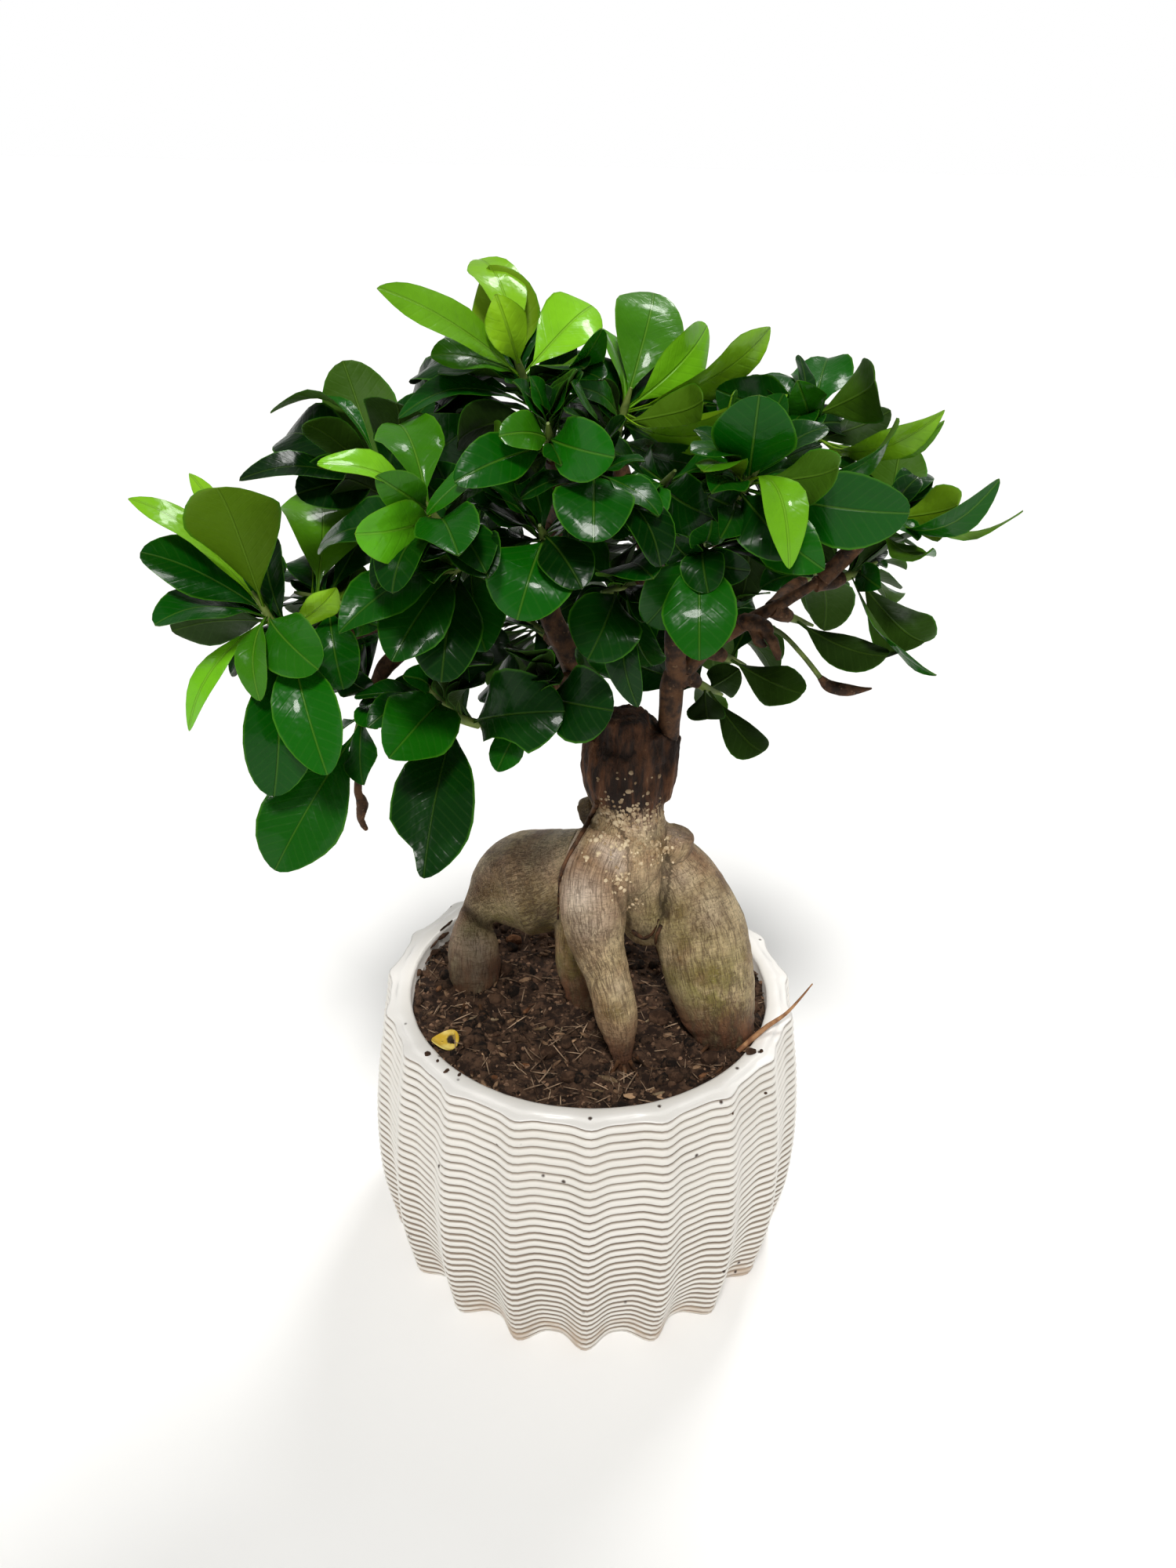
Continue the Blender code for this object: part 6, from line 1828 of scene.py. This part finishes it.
def make_leaves():
    routes, grown = place_leaves()
    tree = leaf_tree()
    gloss = leaf_material()
    for name in SHOOTS:
        piece = leaf_points(name, grown[name])
        run_tree(piece, tree, {
            "Rows": BLADE_ROWS, "Columns": BLADE_COLUMNS, "Thickness": BLADE_THICKNESS,
            "Petiole Width": PETIOLE_WIDTH, "Petiole Share": PETIOLE_SHARE, "Material": gloss})
        piece.data.set_sharp_from_angle(angle=SHARP_ANGLE)
        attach(piece, "root")
        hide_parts(name)
    return routes


def cloudy_material(name, dark, light, specular, fineness, detail, dull, duller):
    """Soft clouds from a dark to a light colour, duller where they are light."""
    cloudy, start, finish = new_material(name, specular=specular)
    cloud = start.object_place().grain(fineness, detail)
    finish(Base_Color=cloud.between(0.35, 0.65).paint(dark, light), Roughness=dull + cloud * duller)
    return cloudy


stem_routes = make_leaves()
STEM_GREEN = cloudy_material("green stem", (0.07, 0.11, 0.02), (0.19, 0.26, 0.05),
                             0.4, 200.0, 3.0, 0.45, 0.15)
stems = make_bars("green_stems", [[(centre, radius) for centre, _, radius in route]
                                  for route in stem_routes.values()], 10, 5, 0.2 * MM, STEM_GREEN)
bud_stalk = make_bars("bud_stalk", [knots_path(BUD_STALK)], 10, 5, 0.1 * MM, STEM_GREEN)
bud = make_bars("brown_bud", [knots_path(BUD)], 12, 6, 0.5 * MM, TWIG_BARK)
sheath = make_bars("dry_sheath", [knots_path(SHEATH), knots_path(SHEATH_FLAP)], 14, 6, 2.6 * MM, TWIG_BARK)
scrap = make_bars("dead_scrap", [knots_path(DEAD_SCRAP)], 12, 6, 2.0 * MM, TWIG_BARK)


# What lies on the soil.
# A small yellow leaf lies dried at the front on the left, and a dry grass stalk leans out over
# the rim on the right.
FALLEN_LEAF_AT = (-0.0497, -0.0302)
FALLEN_LEAF_HALVES = (0.0047, 0.0039)
FALLEN_LEAF_LEANS = 0.16
FALLEN_LEAF_RINGS = 8
FALLEN_LEAF_COLUMNS = 28
FALLEN_LEAF_CURL = 0.0014
FALLEN_LEAF_THICKNESS = 0.0004
HOLE_IN_LEAF = (0.0022, 0.0012)


def yellow_blade(height):
    """Yellow in soft clouds, with a dark hole eaten into it."""
    yellow, start, finish = new_material("yellow leaf", roughness=0.45, specular=0.4)
    place = start.object_place()
    cloud = place.grain(200.0, 4.0)
    hole = tuple(a + b for a, b in zip(FALLEN_LEAF_AT, HOLE_IN_LEAF))
    away = place.moved(place.grain(900.0).scaled(0.9 * MM)).vector("SUBTRACT", (*hole, height))
    away = away.vector("MULTIPLY", (1.0, 0.7, 0.3)).vector("LENGTH").other("Value")
    colour = cloud.between(0.35, 0.65).paint((0.62, 0.4, 0.03), (0.86, 0.7, 0.2))
    colour = (1.0 - away.between(0.9 * MM, 1.7 * MM)).paint(colour, (0.03, 0.018, 0.01))
    finish(Base_Color=colour, Roughness=0.4 + cloud * 0.2)
    return yellow


def make_fallen_leaf():
    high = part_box("fallen_leaf")[1]
    long_half, short_half = FALLEN_LEAF_HALVES
    points = [Vector((*FALLEN_LEAF_AT, high.z))]
    for ring in range(1, FALLEN_LEAF_RINGS + 1):
        for column in range(FALLEN_LEAF_COLUMNS):
            angle = 2 * math.pi * column / FALLEN_LEAF_COLUMNS
            share = ring / FALLEN_LEAF_RINGS
            x = FALLEN_LEAF_AT[0] + long_half * share * math.cos(angle)
            y = FALLEN_LEAF_AT[1] + short_half * share * math.sin(angle) * (1 + 0.3 * math.cos(angle))
            curl = FALLEN_LEAF_CURL * share ** 3 * (0.6 + 0.4 * math.sin(2 * angle))
            points.append(Vector((x, y, high.z + curl + FALLEN_LEAF_LEANS * (y - FALLEN_LEAF_AT[1]))))
    faces = disc_faces(FALLEN_LEAF_RINGS, FALLEN_LEAF_COLUMNS)
    leaf = link_mesh("yellow_leaf", points, [], faces, [yellow_blade(high.z)])
    slab = leaf.modifiers.new("thickness", "SOLIDIFY")
    slab.thickness = FALLEN_LEAF_THICKNESS
    keep_shape(leaf)
    face_outwards(leaf)
    leaf.data.shade_smooth()
    leaf.data.set_sharp_from_angle(angle=math.radians(60))
    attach(leaf, "root")
    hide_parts("fallen_leaf")


make_fallen_leaf()
straw = cloudy_material("dry straw", (0.2, 0.085, 0.035), (0.42, 0.22, 0.1), 0.3, 300.0, 4.0, 0.5, 0.2)
stalk_path = [(Vector((0.05, -0.036, 0.1035)), 0.9 * MM), (Vector((0.061, -0.0275, 0.1083)), 0.9 * MM),
              (Vector((0.07, -0.0215, 0.1113)), 0.6 * MM), (Vector((0.0785, -0.0165, 0.12)), 0.25 * MM)]
stalk = make_bars("grass_stalk", [stalk_path], 8, 6, 0.2 * MM, straw)
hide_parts("dry_stalk")

# Loose bits that the picture shows on the soil and the rim: (across, down, length in mm, radius
# in mm, turn in degrees), then their dark and light colour
LOOSE_BITS = {
    "spilled_soil": ([
        (546, 1345, 1.8, 0.8, 20), (558, 1354, 1.2, 0.6, 80), (569, 1367, 2.2, 0.7, 40),
        (577, 1358, 1.0, 0.5, 0), (586, 1371, 1.6, 0.6, 60), (958, 1343, 3.4, 1.3, 10),
        (971, 1341, 1.2, 0.6, 50), (976, 1394, 1.2, 0.5, 0), (934, 1420, 1.5, 0.5, 90),
        (954, 1215, 2.6, 1.1, 70), (958, 1235, 2.2, 0.9, 30), (962, 1256, 2.4, 1.0, 80),
        (964, 1277, 2.0, 0.9, 60), (963, 1296, 2.4, 1.0, 80), (958, 1314, 2.2, 0.9, 20),
        (533, 1240, 2.6, 1.1, 80), (530, 1258, 2.2, 1.0, 60), (534, 1280, 2.8, 1.2, 90),
        (541, 1300, 2.0, 1.0, 40), (640, 1240, 7.0, 3.2, 30), (842, 1300, 8.0, 3.4, 0),
        (700, 1345, 6.0, 2.6, 20), (600, 1330, 5.0, 2.4, 70), (862, 1376, 5.0, 2.2, 0),
        (728, 1376, 6.0, 2.4, 10), (655, 1338, 5.0, 2.2, 80), (905, 1352, 6.0, 2.6, 40),
        (569, 1181, 8.0, 0.45, 60), (563, 1194, 7.0, 0.9, 50), (556, 1201, 9.0, 0.4, 66),
        (552, 1214, 5.0, 1.3, 30), (546, 1223, 6.0, 0.5, 72)],
        (0.05, 0.025, 0.014), (0.2, 0.11, 0.065)),
    "orange_chips": ([
        (653, 1203, 6.0, 2.8, 10), (668, 1361, 4.0, 1.0, 10), (672, 1290, 3.4, 0.9, 50),
        (629, 1375, 3.0, 0.8, 0), (898, 1372, 4.0, 0.8, 30), (560, 1262, 3.0, 0.9, 60)],
        (0.13, 0.05, 0.02), (0.42, 0.21, 0.1)),
    "pale_slivers": ([
        (831, 1298, 7.0, 0.6, 50), (631, 1301, 3.0, 0.8, 0), (779, 1378, 9.0, 0.9, -25),
        (762, 1392, 7.0, 0.6, -10), (838, 1396, 8.0, 0.6, 15), (715, 1318, 6.0, 0.5, 80),
        (690, 1312, 5.0, 0.5, 20), (655, 1268, 8.0, 0.5, -15), (600, 1300, 6.0, 0.5, 35)],
        (0.18, 0.115, 0.06), (0.52, 0.4, 0.25)),
}


def lying_bit(across, down, length, radius, turn):
    """A short path of (centre, radius) that lies on what the picture shows there."""
    hits = [seen_on(surface, across, down) for surface in LIES_ON]
    place, way = min((hit for hit in hits if hit[0]), key=lambda hit: (hit[0] - EYE).length)
    step = turned(RIGHT, Vector((0, 0, 1)), turn) * (length / 2 * MM)
    rest = place + way * (0.4 * radius * MM)
    return [(rest - step, 0.6 * radius * MM), (rest, radius * MM), (rest + step, 0.5 * radius * MM)]


LIES_ON = [surface_of(bpy.data.objects[name]) for name in ("ribbed_pot", "soil_bed")]
for name, (bits, dark, light) in LOOSE_BITS.items():
    loose = make_bars(name, [lying_bit(*bit) for bit in bits], 8, 4, 1.5 * MM,
                      earth_material(name, dark, light, 300.0))
